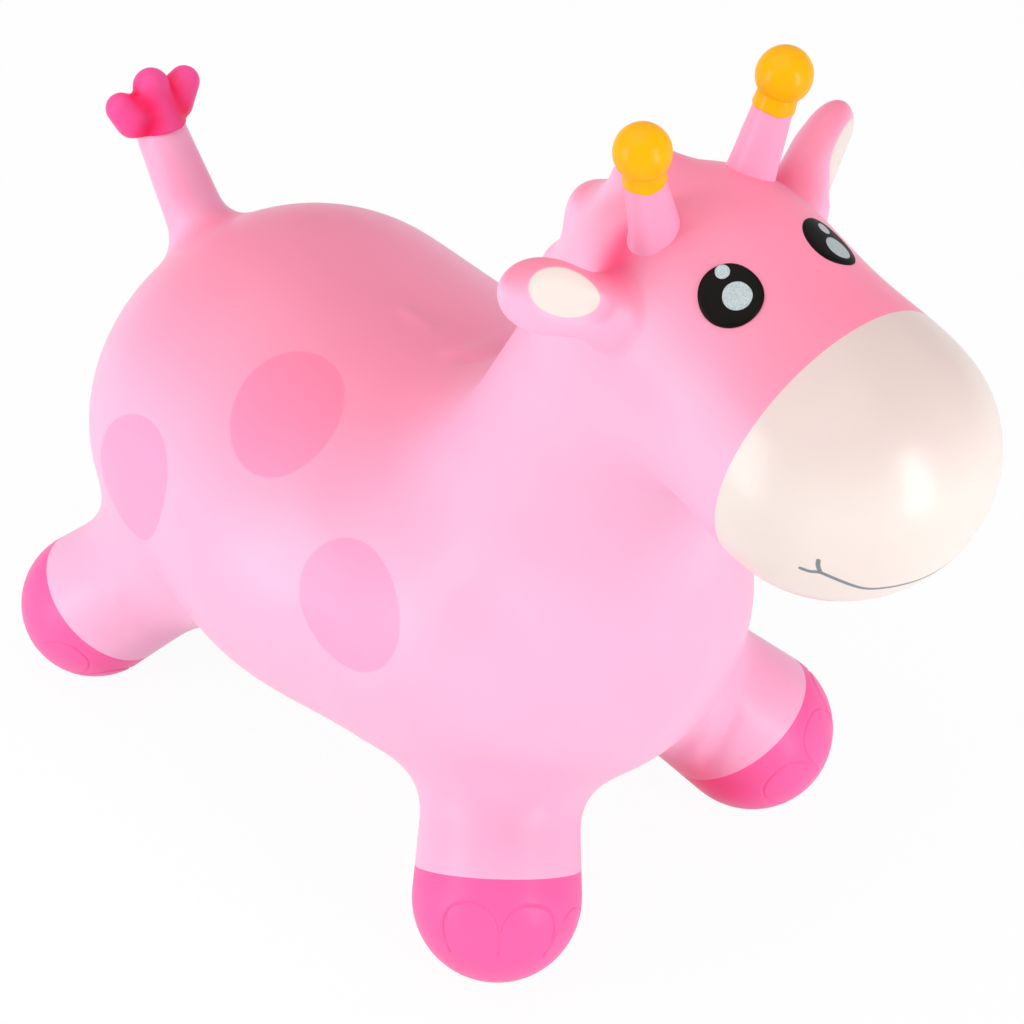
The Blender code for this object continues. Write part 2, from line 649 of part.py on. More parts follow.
LEGS = (
    ("front", FRONT_HOOF_RADIUS, FRONT_HOOF_SHARES, FRONT_ROOT_SHARES),
    ("rear", REAR_HOOF_RADIUS, REAR_HOOF_SHARES, REAR_ROOT_SHARES),
)
for leg_end, *leg_sizes in LEGS:
    for leg_side_name, leg_side in SIDES:
        leg_and_hoof(leg_end, leg_side_name, leg_side, *leg_sizes)
for part_side_name, part_side in SIDES:
    horn(part_side_name, part_side)
    ear(part_side_name, part_side)
    eye(part_side_name, part_side)
tail()
mane()
valve()
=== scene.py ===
"""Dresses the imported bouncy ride-on animal: one smooth skin, parted where its colours and joints part.

The skin is the zero surface of a smooth-blended distance field. It is meshed once, made finer where it
carries detail, displaced, and then parted, so that neighbouring pieces share their edges and normals.
"""

import math

import bpy
import numpy as np
from mathutils import Matrix, Vector


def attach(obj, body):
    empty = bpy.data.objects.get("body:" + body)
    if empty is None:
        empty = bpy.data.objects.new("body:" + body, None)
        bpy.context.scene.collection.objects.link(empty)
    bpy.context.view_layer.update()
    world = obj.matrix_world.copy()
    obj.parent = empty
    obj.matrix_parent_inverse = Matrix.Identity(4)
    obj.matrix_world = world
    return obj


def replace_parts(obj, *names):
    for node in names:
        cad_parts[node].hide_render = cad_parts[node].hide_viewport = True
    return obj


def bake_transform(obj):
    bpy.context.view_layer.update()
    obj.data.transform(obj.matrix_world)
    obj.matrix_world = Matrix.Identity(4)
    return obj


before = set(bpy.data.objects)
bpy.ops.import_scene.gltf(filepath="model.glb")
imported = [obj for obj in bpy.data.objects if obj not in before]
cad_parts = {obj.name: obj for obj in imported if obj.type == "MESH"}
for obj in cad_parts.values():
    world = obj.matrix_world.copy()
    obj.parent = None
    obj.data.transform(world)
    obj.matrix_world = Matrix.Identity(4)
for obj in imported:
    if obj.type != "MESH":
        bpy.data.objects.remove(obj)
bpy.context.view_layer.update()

Y, Z = np.eye(3)[1:]
RIGHT, LEFT = -1, 1
SIDES = (("right", RIGHT), ("left", LEFT))

# Mesh sizes: the skin's and the tuft's grids, and the shortest edge
GRID = 0.0030
TUFT_GRID = 0.0012
FINEST = 0.00045
SKIN_LOW, SKIN_HIGH = (-0.335, -0.180, -0.006), (0.335, 0.180, 0.520)
REFINE_ROUNDS, SETTLE_STEPS, SLOPE_REACH = 4, 4, 0.0004

# Edges of the skin near what it carries: how near, and how long they may be
EAR_EDGE, EAR_MIDDLE = (0.040, 0.0014), 0.030
MANE_EDGE, MANE_EDGE_LOW, MANE_EDGE_TAPER = (0.006, 0.0018), 0.34, 0.1
LINE_EDGES = ((0.0060, 0.0016), (0.0026, FINEST))
SPLIT_OVER, SNAP_SHARE = 1.45, 0.22

# How a face with 1, 2 or 3 split edges is divided: 0 to 2 are its corners, 3 to 5 its edges' middles
SPLITS = {1: ((0, 3, 2), (3, 1, 2)), 2: ((3, 1, 4), (0, 3, 4), (0, 4, 2)),
          3: ((0, 3, 5), (3, 1, 4), (5, 4, 2), (3, 4, 5))}

# Distances that stand for further away
FAR, FOLD_FAR, OFF_MARK = 0.02, 0.03, -0.02

# Torso
RUMP = dict(centre=(-0.1685, 0, 0.163), radii=(0.119, 0.129, 0.118))
BELLY = dict(centre=(-0.0765, 0, 0.150), radii=(0.095, 0.131, 0.088))
CHEST = dict(centre=(0.0155, 0, 0.155), radii=(0.137, 0.127, 0.107))
TORSO_BLEND, BELLY_BLEND = 0.095, 0.060

# Neck and head
NECK = dict(start=(0.0565, 0, 0.214), end=(0.1135, 0, 0.365), start_radius=0.083, end_radius=0.060)
HEAD = dict(centre=(0.1575, 0, 0.411), radii=(0.080, 0.068, 0.077), axis=(0.80, 0, -0.30))
MUZZLE = dict(centre=(0.2505, 0, 0.388), radii=(0.068, 0.074, 0.067), axis=(0.85, 0, -0.50))
NECK_BLEND, MUZZLE_BLEND, HEAD_BLEND = 0.047, 0.050, 0.035
NECK_LOW, NECK_HIGH, NECK_TILT = (0.0920, 0, 0.2860), (0.1170, 0, 0.3310), math.radians(27)
MUZZLE_LINE = dict(point=(0.2425, 0, 0.4307), normal=(0.992, 0, -0.124), bow=0.002, half_width=0.07)

# Legs, given for the right side
FRONT_LEG = dict(root=(0.0505, -0.037, 0.1205), hoof=(0.1115, -0.098, 0.042), root_radius=0.0385,
                 hoof_radius=0.0468, blend=0.025, toes=(163, 208, 254), toe_top=-0.004,
                 lines={"right": (0.0161, 0.153), "left": (0.0135, 0.225)})
REAR_LEG = dict(root=(-0.1555, -0.059, 0.123), hoof=(-0.2285, -0.121, 0.0415), root_radius=0.039,
                hoof_radius=0.0450, blend=0.035, toes=(272, 318, 4), toe_top=0.001,
                lines={"right": (0.0097, 0.124), "left": (0.0105, 0.130)})
LEGS = (("front", FRONT_LEG), ("rear", REAR_LEG))
LEG_REACH, LEG_GUARD, LEG_FLEX_END = 0.058, 0.083, 0.017
SOLE_BLEND = 0.006
TOE_HALF_ANGLE, TOE_BOTTOM, TOE_POINTS = 23.0, -0.031, 41
TOE_ROUNDNESS = (2.6, 2.2)
TOE_GROOVE_WIDTH, TOE_GROOVE_DEPTH = 0.0014, 0.0008

# Ears, given for the right side: along, across and in front of the ear
EAR_ROOT, EAR_AXIS = (0.1498, -0.05825, 0.44294), (-0.2676, -0.8236, 0.5000)
EAR_TURN = math.radians(17)
EAR_BLADE = dict(centre=(0.0388, 0, 0), radii=(0.0248, 0.0173, 0.0125))
EAR_STEM = dict(start=(-0.0020, 0.0005, 0), end=(0.0300, 0, 0), start_radius=0.0188, end_radius=0.0110)
EAR_DISH = dict(centre=(0.0370, 0.002, 0.0162), radii=(0.0235, 0.0145, 0.0060))
EAR_CREAM_CENTRE, EAR_CREAM_RADII = (0.0366, 0.0046), (0.0190, 0.0107)
EAR_STEM_BLEND, EAR_DISH_BLEND, EAR_BLEND = 0.010, 0.004, 0.004
EAR_CUT, EAR_GUARD, EAR_FLEX_END = 0.012, 0.034, 0.026

# Tail
TAIL = dict(start=(-0.2545, 0, 0.233), end=(-0.2945, 0, 0.298), start_radius=0.0187, end_radius=0.0151)
TAIL_ROOT, TAIL_AXIS = (-0.2578, 0, 0.24175), (-0.524, 0, 0.8517)
TAIL_BLEND, TAIL_CUT, TAIL_GUARD, TAIL_FLEX_END = 0.018, 0.016, 0.085, 0.046
TAIL_PAINT, TAIL_PAINT_LEAN = 0.0678, math.radians(13)

# Tuft: along the tail from its root, to the left, and forwards
TUFT_STEM = ((0.0640, 0, 0), (0.0752, 0, 0), 0.0153, 0.0143)
TUFT_MIDDLE = ((0.0752, 0, 0), (0.0914, 0, 0.0080), 0.0135, 0.0107)
TUFT_LOBES = (((0.0779, -0.0132, 0), (0.0860, -0.0197, 0.0008), 0.0127, 0.0092),
              ((0.0779, 0.0132, 0), (0.0858, 0.0234, 0.0039), 0.0127, 0.0092))
TUFT_BLEND, TUFT_CREASE, TUFT_RIM = 0.006, 0.0028, 0.0008
TUFT_REACH, TUFT_SHADE_REACH = 0.045, 0.0065

# Mane: angle about the centre in degrees, and the outline's distance from it
MANE_CENTRE = (0.154, 0, 0.400)
MANE_OUTLINE = ((100, 0.081), (106, 0.0855), (112, 0.0930), (119, 0.0980), (126, 0.0965), (133, 0.0900),
                (139, 0.0885), (146, 0.0920), (153, 0.0980), (160, 0.0975), (166, 0.0950), (171, 0.0955),
                (176, 0.0995), (182, 0.1075), (188, 0.1110), (193, 0.1050), (198, 0.0930), (204, 0.080))
MANE_HALF_THICKNESS, MANE_BLEND = 0.0165, 0.010

# Horns: profiles are height along the horn, and radius
HORN_ROOTS = dict(right=(0.15038, -0.03143, 0.47362), left=(0.1490, 0.0288, 0.4745))
HORN_TIPS = dict(right=(0.1522, -0.0417, 0.5097), left=(0.1517, 0.0403, 0.5122))
HORN_PROFILE = ((-0.0060, 0.0158), (-0.0020, 0.0144), (0.0010, 0.0132), (0.0050, 0.0123), (0.0120, 0.0116),
                (0.0200, 0.0110), (0.0280, 0.0104), (0.0350, 0.0098), (0.0382, 0.0097), (0.0404, 0.0094),
                (0.0424, 0.0086))
HORN_HEIGHT, HORN_FLEX = 0.0382, (0.001, 0.020)
HORN_FOOT, HORN_FOOT_RANGE, HORN_SINK = 0.0005, (-0.002, 0.006), 0.0006
HORN_RINGS, HORN_SIDES = 44, 64
COLLAR_PROFILE = ((-0.0004, 0.0090), (0.0, 0.0099), (0.0008, 0.0103), (0.0036, 0.0101), (0.0062, 0.0099),
                  (0.0074, 0.0097), (0.0080, 0.0097))
KNOB_CENTRES = dict(right=(0.1528, -0.0442, 0.5264), left=(0.1526, 0.0456, 0.5282))
KNOB_RADIUS, KNOB_STRETCH, KNOB_SINK = 0.0136, 1.035, 0.0004
KNOB_START_ANGLE, KNOB_RINGS, COLLAR_RINGS, KNOB_SIDES = 0.06, 30, 22, 80
COLLAR_EDGE, COLLAR_WAVE, COLLAR_WAVE_SHARE = 0.0030, 0.0004, 0.012

# Eyes: centre, and the glints' centres across and up from it
EYES = dict(right=((0.1999, -0.0323, 0.4673), (0.0033, -0.0001), (-0.0057, 0.0099)),
            left=((0.2020, 0.0293, 0.4683), (-0.0035, -0.0037), (0.0078, 0.0021)))
EYE_RADIUS, EYE_RAISE, EYE_WOBBLE, EYE_SIDES = 0.0154, 0.0012, 0.008, 120
EYE_RINGS = (1.0, 0.99, 0.965, 0.92, 0.86, 0.75, 0.6, 0.4, 0.2, 0.0)
EYE_RAISE_SHARES = (-1.0, 0.30, 0.68, 0.88, 0.97, 1.0, 1.0, 1.0, 1.0, 1.0)
GLINT_RADII, GLINT_WOBBLE, GLINT_SIDES = (0.0070, 0.0035), 0.006, 64
GLINT_RINGS = (1.0, 0.96, 0.85, 0.6, 0.3, 0.0)
GLINT_HEIGHTS = (-0.0001, 0.00006, 0.00012, 0.00014, 0.00014, 0.00014)

# Smile, given for the right side
SMILE = ((0.2822, -0.0639, 0.3753), (0.2857, -0.0614, 0.3743), (0.2894, -0.0586, 0.3745),
         (0.2933, -0.0544, 0.3715), (0.2967, -0.0495, 0.3677), (0.3011, -0.0391, 0.3611),
         (0.3063, -0.0290, 0.3584), (0.3087, -0.0203, 0.3571), (0.3095, -0.0128, 0.3562),
         (0.3094, 0.0, 0.3556))
SMILE_TICK = ((0.2893, -0.0603, 0.3826), (0.2891, -0.0600, 0.3792), (0.2895, -0.0588, 0.3753))
SMILE_WIDTH, SMILE_DEPTH = 0.0022, 0.0002

# Spots, given for the right side: the ends of two diameters. The first has no twin on the left
SPOTS = (
    ((-0.0809, -0.1059, 0.2301), (-0.0908, -0.0419, 0.2673),
     (-0.1170, -0.0787, 0.2533), (-0.0495, -0.0737, 0.2499)),
    ((-0.1800, -0.1156, 0.2138), (-0.1467, -0.1333, 0.1522),
     (-0.1330, -0.1236, 0.2051), (-0.1936, -0.1261, 0.1616)),
    ((-0.0128, -0.1033, 0.2229), (0.0409, -0.1218, 0.1766),
     (0.0407, -0.1030, 0.2218), (-0.0075, -0.1267, 0.1835)),
)

# Painted shade: deeper colour in creases and other places where shade falls, given for the right side:
# centre, reach and strength
SHADES = (
    ((0.1430, -0.0500, 0.4630), 0.0130, 0.95),
    ((0.1400, -0.0395, 0.4730), 0.0080, 0.60),
    ((0.1120, -0.0480, 0.0370), 0.0260, 0.75),
    ((0.1350, -0.0570, 0.0380), 0.0200, 0.25),
    ((0.1838, -0.0597, 0.4410), 0.0300, 0.10),
    ((0.1188, -0.0983, 0.0964), 0.0340, 0.20),
    ((0.1183, -0.0406, 0.0749), 0.0160, 0.08),
    ((-0.2700, -0.0130, 0.2900), 0.0130, 0.20),
    ((-0.2590, -0.0130, 0.2750), 0.0130, 0.25),
    ((0.0484, -0.0620, 0.2995), 0.0350, 0.08),
    ((0.0701, -0.0571, 0.3425), 0.0250, 0.06),
)

# Soft folds: a line on the skin, its half width and its height
FOLD_LINES = (
    (((-0.0886, 0.0148, 0.2721), (-0.0763, 0.0167, 0.2706)), 0.0050, 0.0014),
    (((-0.0472, 0.0112, 0.2687), (-0.0420, 0.0305, 0.2659), (-0.0482, 0.0580, 0.2572)), 0.0050, 0.0013),
    (((-0.0350, 0.0135, 0.2698), (-0.0335, 0.0267, 0.2679), (-0.0379, 0.0451, 0.2621)), 0.0055, -0.0016),
    (((0.1271, 0.0639, 0.0912), (0.1289, 0.0553, 0.0747), (0.1246, 0.0488, 0.0551)), 0.0060, -0.0016),
    (((0.1300, 0.0520, 0.0930), (0.1239, 0.0450, 0.0750), (0.1189, 0.0437, 0.0638)), 0.0050, 0.0012),
    (((-0.1919, -0.1369, 0.0875), (-0.1824, -0.1349, 0.0832)), 0.0050, 0.0012),
    (((-0.1846, -0.1410, 0.0582), (-0.1796, -0.1359, 0.0586)), 0.0060, -0.0010),
    (((0.1111, -0.0636, 0.2805), (0.1186, -0.0603, 0.2782), (0.1278, -0.0550, 0.2758)), 0.0050, 0.0007),
)

# Soft unevenness: each wave's radians a metre and its phase, and their height
WAVES = (((23, 31, 17), 0.4), ((-19, 27, 29), 1.9), ((37, -13, 24), 3.1))
WAVE_HEIGHT = 0.00025

# Painted shade on upward-facing skin, where the colour deepens: ranges of x, of the upward normal, and of
# the height
TOP_SHADE_FRONT, TOP_SHADE_FACING, TOP_SHADE_HEIGHT, TOP_SHADE_REAR = (0.0, 0.10), (0.22, 0.98), (0.10, 0.22), 0.18
# The horn stalks carry this even share of the painted top shade
STALK_TOP_SHADE = 0.3

# Valve hole in the belly
VALVE_CENTRE, VALVE_HOLE, VALVE_TOP, NOT_VALVE = (-0.06594, 0), 0.0094, 0.12, -0.1

# Colours. The deeper pinks, cream, magenta and raspberry are painted shade, on upward-facing skin and in
# creases
WHITE, FLOOR_WHITE = (1, 1, 1, 1), (0.92, 0.92, 0.92, 1)
PINK, TOP_SHADE_PINK, CREASE_SHADE_PINK = (1.0, 0.49, 0.71, 1), (0.98, 0.27, 0.41, 1), (0.98, 0.085, 0.22, 1)
SPOT_SHADE, MOTTLE_SHADE = (1.0, 0.78, 0.88, 1), (0.99, 0.96, 0.97, 1)
CREAM, SHADE_CREAM, EAR_CREAM = (0.86, 0.76, 0.70, 1), (0.76, 0.61, 0.57, 1), (0.83, 0.74, 0.68, 1)
MAGENTA, CREASE_SHADE_MAGENTA = (1.0, 0.135, 0.41, 1), (1.0, 0.02, 0.16, 1)
RASPBERRY, CREASE_SHADE_RASPBERRY = (1.0, 0.088, 0.34, 1), (1.0, 0.006, 0.10, 1)
YELLOW, BLACK, VALVE_GREY = (1.0, 0.47, 0.0, 1), (0.005, 0.003, 0.003, 1), (0.74, 0.73, 0.73, 1)
SILVER, DARK_FLAKE, LIGHT_FLAKE = (0.20, 0.22, 0.25, 1), (0.34, 0.42, 0.44, 1), (0.62, 0.68, 0.69, 1)
SPOT_EDGE, CREAM_EDGE, SMILE_EDGE = 0.0006, 0.0004, 0.0002

# Surfaces: the noise's scale a metre, and for the bumps also their strength and depth
MOTTLE_SCALE, SHEEN_SCALE, FLAKE_SCALE = 16, 90, 2600
DENTS, GRAIN = (22, 0.35, 0.0016), (150, 0.25, 0.0004)
FLAKE_BUMP = (0.5, 0.0001)

# Camera
CAMERA_AZIMUTH, CAMERA_ELEVATION, CAMERA_ROLL = math.radians(48.5), math.radians(40.8), math.radians(-0.2)
CAMERA_TARGET, CAMERA_DISTANCE = (0.0143, 0, 0.2002), 1.694
SENSOR_WIDTH, CAMERA_LENS = 36.0, 108.984375

# Studio: the lamps' places, sizes and watts
LAMPS = dict(
    softbox_left=((-0.60, -1.90, 0.55), (0.7, 1.8), 20),
    softbox_right=((2.05, 0.30, 0.55), (0.6, 1.8), 24),
    softbox_top=((-0.2, -0.4, 2.3), (2.4, 2.4), 20),
)
LAMP_TARGET = (0.05, 0, 0.28)
FLOOR_REACH, FLOOR_WHITE_SHARE, SKY_STRENGTH = 6.0, 0.95, 0.50


def unit(vector):
    vector = np.asarray(vector, float)
    return vector / np.linalg.norm(vector)


def mirrored(points):
    """The same points folded onto the right side."""
    folded = points.copy()
    folded[..., 1] = -np.abs(folded[..., 1])
    return folded


def to_side(point, side):
    return np.array(point, float) * (1, -side, 1)


def smooth_step(value, low, high):
    share = np.clip((value - low) / (high - low), 0, 1)
    return share * share * (3 - 2 * share)


def smooth_min(first, second, width):
    blend = np.maximum(width - np.abs(first - second), 0) / width
    return np.minimum(first, second) - blend * blend * width / 4


def smooth_max(first, second, width):
    return -smooth_min(-first, -second, width)


def axes_of(axis, up=Z):
    """Rows: along, across and the rest of up."""
    along = unit(axis)
    across = unit(np.cross(up, along))
    return np.array([along, across, np.cross(along, across)])


def ellipsoid(points, centre, radii, turn=None):
    local = points - np.asarray(centre, float)
    if turn is not None:
        local = local @ turn.T
    radii = np.asarray(radii, float)
    scaled = np.linalg.norm(local / radii, axis=-1)
    slope = np.linalg.norm(local / (radii * radii), axis=-1)
    return scaled * (scaled - 1) / np.maximum(slope, 1e-9)


def cone(points, start, end, start_radius, end_radius):
    """Distance to a cone with round ends."""
    start = np.asarray(start, float)
    line = np.asarray(end, float) - start
    length = line @ line
    taper = start_radius - end_radius
    slant = length - taper * taper
    local = points - start
    along = local @ line
    beyond = along - length
    off_square = ((local * length - along[..., None] * line) ** 2).sum(-1)
    along_square = along * along * length
    beyond_square = beyond * beyond * length
    limit = np.sign(taper) * taper * taper * off_square
    distance = (np.sqrt(off_square * slant / length) + along * taper) / length - start_radius
    near_start = np.sign(along) * slant * along_square < limit
    near_end = np.sign(beyond) * slant * beyond_square > limit
    distance = np.where(near_start, np.sqrt(off_square + along_square) / length - start_radius, distance)
    return np.where(near_end, np.sqrt(off_square + beyond_square) / length - end_radius, distance)


def ear_axes(side):
    """Rows for an ear folded onto the right side: along it, across it, and out of its dish."""
    along = unit(EAR_AXIS)
    across = unit(Z - along * along[2])
    turn = EAR_TURN if side == RIGHT else -EAR_TURN
    across = across * math.cos(turn) + np.cross(along, across) * math.sin(turn)
    return np.array([along, across, np.cross(across, along)])


def ear_local(points, side):
    return (to_side(points, side) - EAR_ROOT) @ ear_axes(side).T


def ear_field(points, side):
    local = ear_local(points, side)
    ear = smooth_min(ellipsoid(local, **EAR_BLADE), cone(local, **EAR_STEM), EAR_STEM_BLEND)
    return smooth_max(ear, -ellipsoid(local, **EAR_DISH), EAR_DISH_BLEND)


def mane_field(points):
    """A rounded crest in the middle plane, under a lobed outline."""
    local = points - MANE_CENTRE
    angle = np.degrees(np.arctan2(local[..., 2], local[..., 0])) % 360
    angles, reaches = MANE_LINE.T
    reach = np.interp(angle, angles, reaches)
    proud = np.hypot(local[..., 0], local[..., 2]) - reach
    thick = MANE_HALF_THICKNESS
    crest = np.hypot(np.maximum(proud + thick, 0), points[..., 1]) - thick
    outside = np.maximum(angles[0] - angle, angle - angles[-1])
    return np.maximum(crest, np.radians(outside) * reach)


def trunk_field(points):
    torso = smooth_min(ellipsoid(points, **RUMP), ellipsoid(points, **CHEST), TORSO_BLEND)
    torso = smooth_min(torso, ellipsoid(points, **BELLY), BELLY_BLEND)
    head, muzzle = (ellipsoid(points, form["centre"], form["radii"], axes_of(form["axis"]))
                    for form in (HEAD, MUZZLE))
    front = smooth_min(head, muzzle, MUZZLE_BLEND)
    return smooth_min(smooth_min(torso, cone(points, **NECK), NECK_BLEND), front, HEAD_BLEND)


def skin_field(points):
    folded = mirrored(points)
    field = trunk_field(points)
    for _end, leg in LEGS:
        limb = cone(folded, leg["root"], leg["hoof"], leg["root_radius"], leg["hoof_radius"])
        field = smooth_min(field, limb, leg["blend"])
    field = smooth_min(field, mane_field(points), MANE_BLEND)
    for _name, side in SIDES:
        field = smooth_min(field, ear_field(points, side), EAR_BLEND)
    field = smooth_min(field, cone(points, **TAIL), TAIL_BLEND)
    return smooth_max(field, -points[..., 2], SOLE_BLEND)


def grid_values(field, low, sizes, step):
    """Field values on a grid: exact near the surface, and one value a block elsewhere."""
    block = 4
    blocks = -(-np.array(sizes) // block)
    corners = np.stack(np.meshgrid(*[np.arange(n) * block for n in blocks], indexing="ij"), -1)
    middle = field(low + (corners + (block - 1) / 2) * step)
    values = np.repeat(np.repeat(np.repeat(middle, block, 0), block, 1), block, 2)
    offsets = np.stack(np.meshgrid(*[np.arange(block)] * 3, indexing="ij"), -1).reshape(-1, 3)
    near = corners[np.abs(middle) < 8 * step]
    index = (near[:, None] + offsets).reshape(-1, 3)
    for part in np.array_split(index, max(1, len(index) // 200000)):
        values[tuple(part.T)] = field(low + part * step)
    return values[:sizes[0], :sizes[1], :sizes[2]]


def surface_net(field, low, high, step):
    """Vertices and triangles of the field's zero surface."""
    low = np.asarray(low, float)
    sizes = np.ceil((np.asarray(high) - low) / step).astype(int) + 1
    values = grid_values(field, low, sizes, step)
    inside = values < 0
    corners = np.array([(i, j, k) for i in (0, 1) for j in (0, 1) for k in (0, 1)])
    count = np.zeros(sizes - 1, int)
    for corner in corners:
        count += inside[tuple(slice(c, n - 1 + c) for c, n in zip(corner, sizes))]
    cells = np.argwhere((count > 0) & (count < 8))
    index = np.full(sizes - 1, -1)
    index[tuple(cells.T)] = np.arange(len(cells))
    total, crossings = np.zeros((len(cells), 3)), np.zeros(len(cells))
    for corner in corners:
        for axis in range(3):
            if corner[axis]:
                continue
            other = corner + np.eye(3, dtype=int)[axis]
            near, far = values[tuple((cells + corner).T)], values[tuple((cells + other).T)]
            crossed = (near < 0) != (far < 0)
            share = np.where(crossed, near / np.where(crossed, near - far, 1), 0)
            total += np.where(crossed[:, None], corner + share[:, None] * (other - corner), 0)
            crossings += crossed
    points = low + (cells + total / crossings[:, None]) * step
    quads = []
    for axis in range(3):
        u, v = (axis + 1) % 3, (axis + 2) % 3
        first = inside[tuple(slice(0, n - (i == axis)) for i, n in enumerate(sizes))]
        second = inside[tuple(slice(int(i == axis), n) for i, n in enumerate(sizes))]
        edges = np.argwhere(first != second)
        edges = edges[(edges[:, u] > 0) & (edges[:, v] > 0)]
        quad = np.empty((len(edges), 4), int)
        for slot, (du, dv) in enumerate(((-1, -1), (0, -1), (0, 0), (-1, 0))):
            cell = edges.copy()
            cell[:, u] += du
            cell[:, v] += dv
            quad[:, slot] = index[tuple(cell.T)]
        outwards = first[tuple(edges.T)]
        quad[~outwards] = quad[~outwards][:, ::-1]
        quads.append(quad)
    quads = np.concatenate(quads)
    first, second = np.linalg.norm(points[quads[:, :2]] - points[quads[:, 2:]], axis=2).T
    turned = first >= second
    quads[turned] = np.roll(quads[turned], 1, axis=1)
    return points, np.concatenate([quads[:, [0, 1, 2]], quads[:, [0, 2, 3]]])


def gradient(field, points):
    steps = np.eye(3) * SLOPE_REACH
    slopes = [(field(points + step) - field(points - step)) / (2 * SLOPE_REACH) for step in steps]
    return np.stack(slopes, -1)


def settle(field, points, steps=2):
    """Moves points onto the field's zero surface."""
    for _step in range(steps):
        slope = gradient(field, points)
        square = np.maximum((slope * slope).sum(1), 0.05)
        points = points - (field(points) / square)[:, None] * slope
    return points


class Skin:
    """Triangles with a label each; edges are split without leaving gaps."""

    def __init__(self, points, faces, label):
        self.points = points
        self.faces = faces
        self.labels = np.full(len(faces), label, dtype=object)

    def edges(self):
        """Unique edges, and for each face the index of its three edges."""
        pairs = np.sort(self.faces[:, [[0, 1], [1, 2], [2, 0]]].reshape(-1, 2), axis=1)
        keys = pairs[:, 0].astype(np.int64) * len(self.points) + pairs[:, 1]
        unique, back = np.unique(keys, return_inverse=True)
        ends = np.stack([unique // len(self.points), unique % len(self.points)], 1)
        return ends, back.reshape(-1, 3)

    def split(self, ends, face_edges, chosen, middles):
        """Puts a new point on each chosen edge, and splits the faces that share it."""
        new = np.full(len(ends), -1)
        new[chosen] = len(self.points) + np.arange(chosen.sum())
        self.points = np.concatenate([self.points, middles])
        mids = new[face_edges]
        marked = mids >= 0
        counts = marked.sum(1)
        faces, labels = [self.faces[counts == 0]], [self.labels[counts == 0]]
        for turn, number in ((0, 1), (0, 2), (1, 1), (1, 2), (2, 1), (2, 2), (0, 3)):
            order = [(turn + k) % 3 for k in range(3)]
            rows = (counts == number) & marked[:, order[:number]].all(1)
            corners = np.hstack([self.faces[rows][:, order], mids[rows][:, order]])
            faces += [corners[:, list(piece)] for piece in SPLITS[number]]
            labels += [self.labels[rows]] * len(SPLITS[number])
        self.faces, self.labels = np.concatenate(faces), np.concatenate(labels)

    def refine(self, wanted, field, rounds):
        """Splits edges that are longer than the wanted length at their ends."""
        for _round in range(rounds):
            ends, face_edges = self.edges()
            length = np.linalg.norm(self.points[ends[:, 0]] - self.points[ends[:, 1]], axis=1)
            limit = wanted(self.points)
            chosen = length > SPLIT_OVER * np.minimum(limit[ends[:, 0]], limit[ends[:, 1]])
            if not chosen.any():
                return
            middles = settle(field, self.points[ends[chosen]].mean(1), 1)
            self.split(ends, face_edges, chosen, middles)

    def part(self, label, value, source):
        """Gives the faces of source where value is over zero the new label, along a clean line."""
        inside = self.labels == source
        values = value(self.points)
        for last in (False, True):
            ends, face_edges = self.edges()
            used = np.zeros(len(ends), bool)
            used[face_edges[inside].ravel()] = True
            first, second = values[ends[:, 0]], values[ends[:, 1]]
            crossed = used & (first * second < 0)
            share = first[crossed] / (first[crossed] - second[crossed])
            starts, stops = self.points[ends[crossed]].transpose(1, 0, 2)
            crossings = starts * (1 - share)[:, None] + stops * share[:, None]
            if last:
                break
            for end, close in ((0, share < SNAP_SHARE), (1, share > 1 - SNAP_SHARE)):
                moved = ends[crossed][close, end]
                self.points[moved] = crossings[close]
                values[moved] = 0
        self.split(ends, face_edges, crossed, crossings)
        values = np.append(values, np.zeros(len(crossings)))
        over = (self.labels == source) & (values[self.faces].sum(1) > 0)
        self.labels[over] = label

    def normals(self):
        a, b, c = (self.points[self.faces[:, k]] for k in range(3))
        face_normals = np.cross(b - a, c - a)
        total = np.zeros_like(self.points)
        for k in range(3):
            np.add.at(total, self.faces[:, k], face_normals)
        return total / np.maximum(np.linalg.norm(total, axis=1), 1e-12)[:, None]


def curve_distance(points, curve, far=FAR):
    """Distance from each point to a line of points, or far where it is further."""
    curve = np.asarray(curve, float)
    distance = np.full(len(points), far)
    near = ((points > curve.min(0) - far) & (points < curve.max(0) + far)).all(1)
    close = points[near]
    best = np.full(len(close), far)
    for start, end in zip(curve, curve[1:]):
        line = end - start
        share = np.clip((close - start) @ line / max(line @ line, 1e-12), 0, 1)
        best = np.minimum(best, np.linalg.norm(close - start - share[:, None] * line, axis=1))
    distance[near] = best
    return distance


def curved(points, count=60):
    """A smooth line through a few points."""
    points = np.asarray(points, float)
    padded = np.concatenate([[2 * points[0] - points[1]], points, [2 * points[-1] - points[-2]]])
    result = []
    for step in np.linspace(0, len(points) - 1 - 1e-9, count):
        first = int(step)
        share = step - first
        a, b, c, d = padded[first:first + 4]
        result.append(0.5 * (2 * b + (c - a) * share + (2 * a - 5 * b + 4 * c - d) * share ** 2
                             + (3 * b - a - 3 * c + d) * share ** 3))
    return np.array(result)


MANE_LINE = curved([(angle, reach, 0) for angle, reach in MANE_OUTLINE], 160)[:, :2]


def leg_axes(leg):
    """Rows: up the leg, down and out across it, and sideways."""
    up = unit(np.subtract(leg["root"], leg["hoof"]))
    out = -unit(Z - up * up[2])
    return np.array([up, out, np.cross(up, out)])


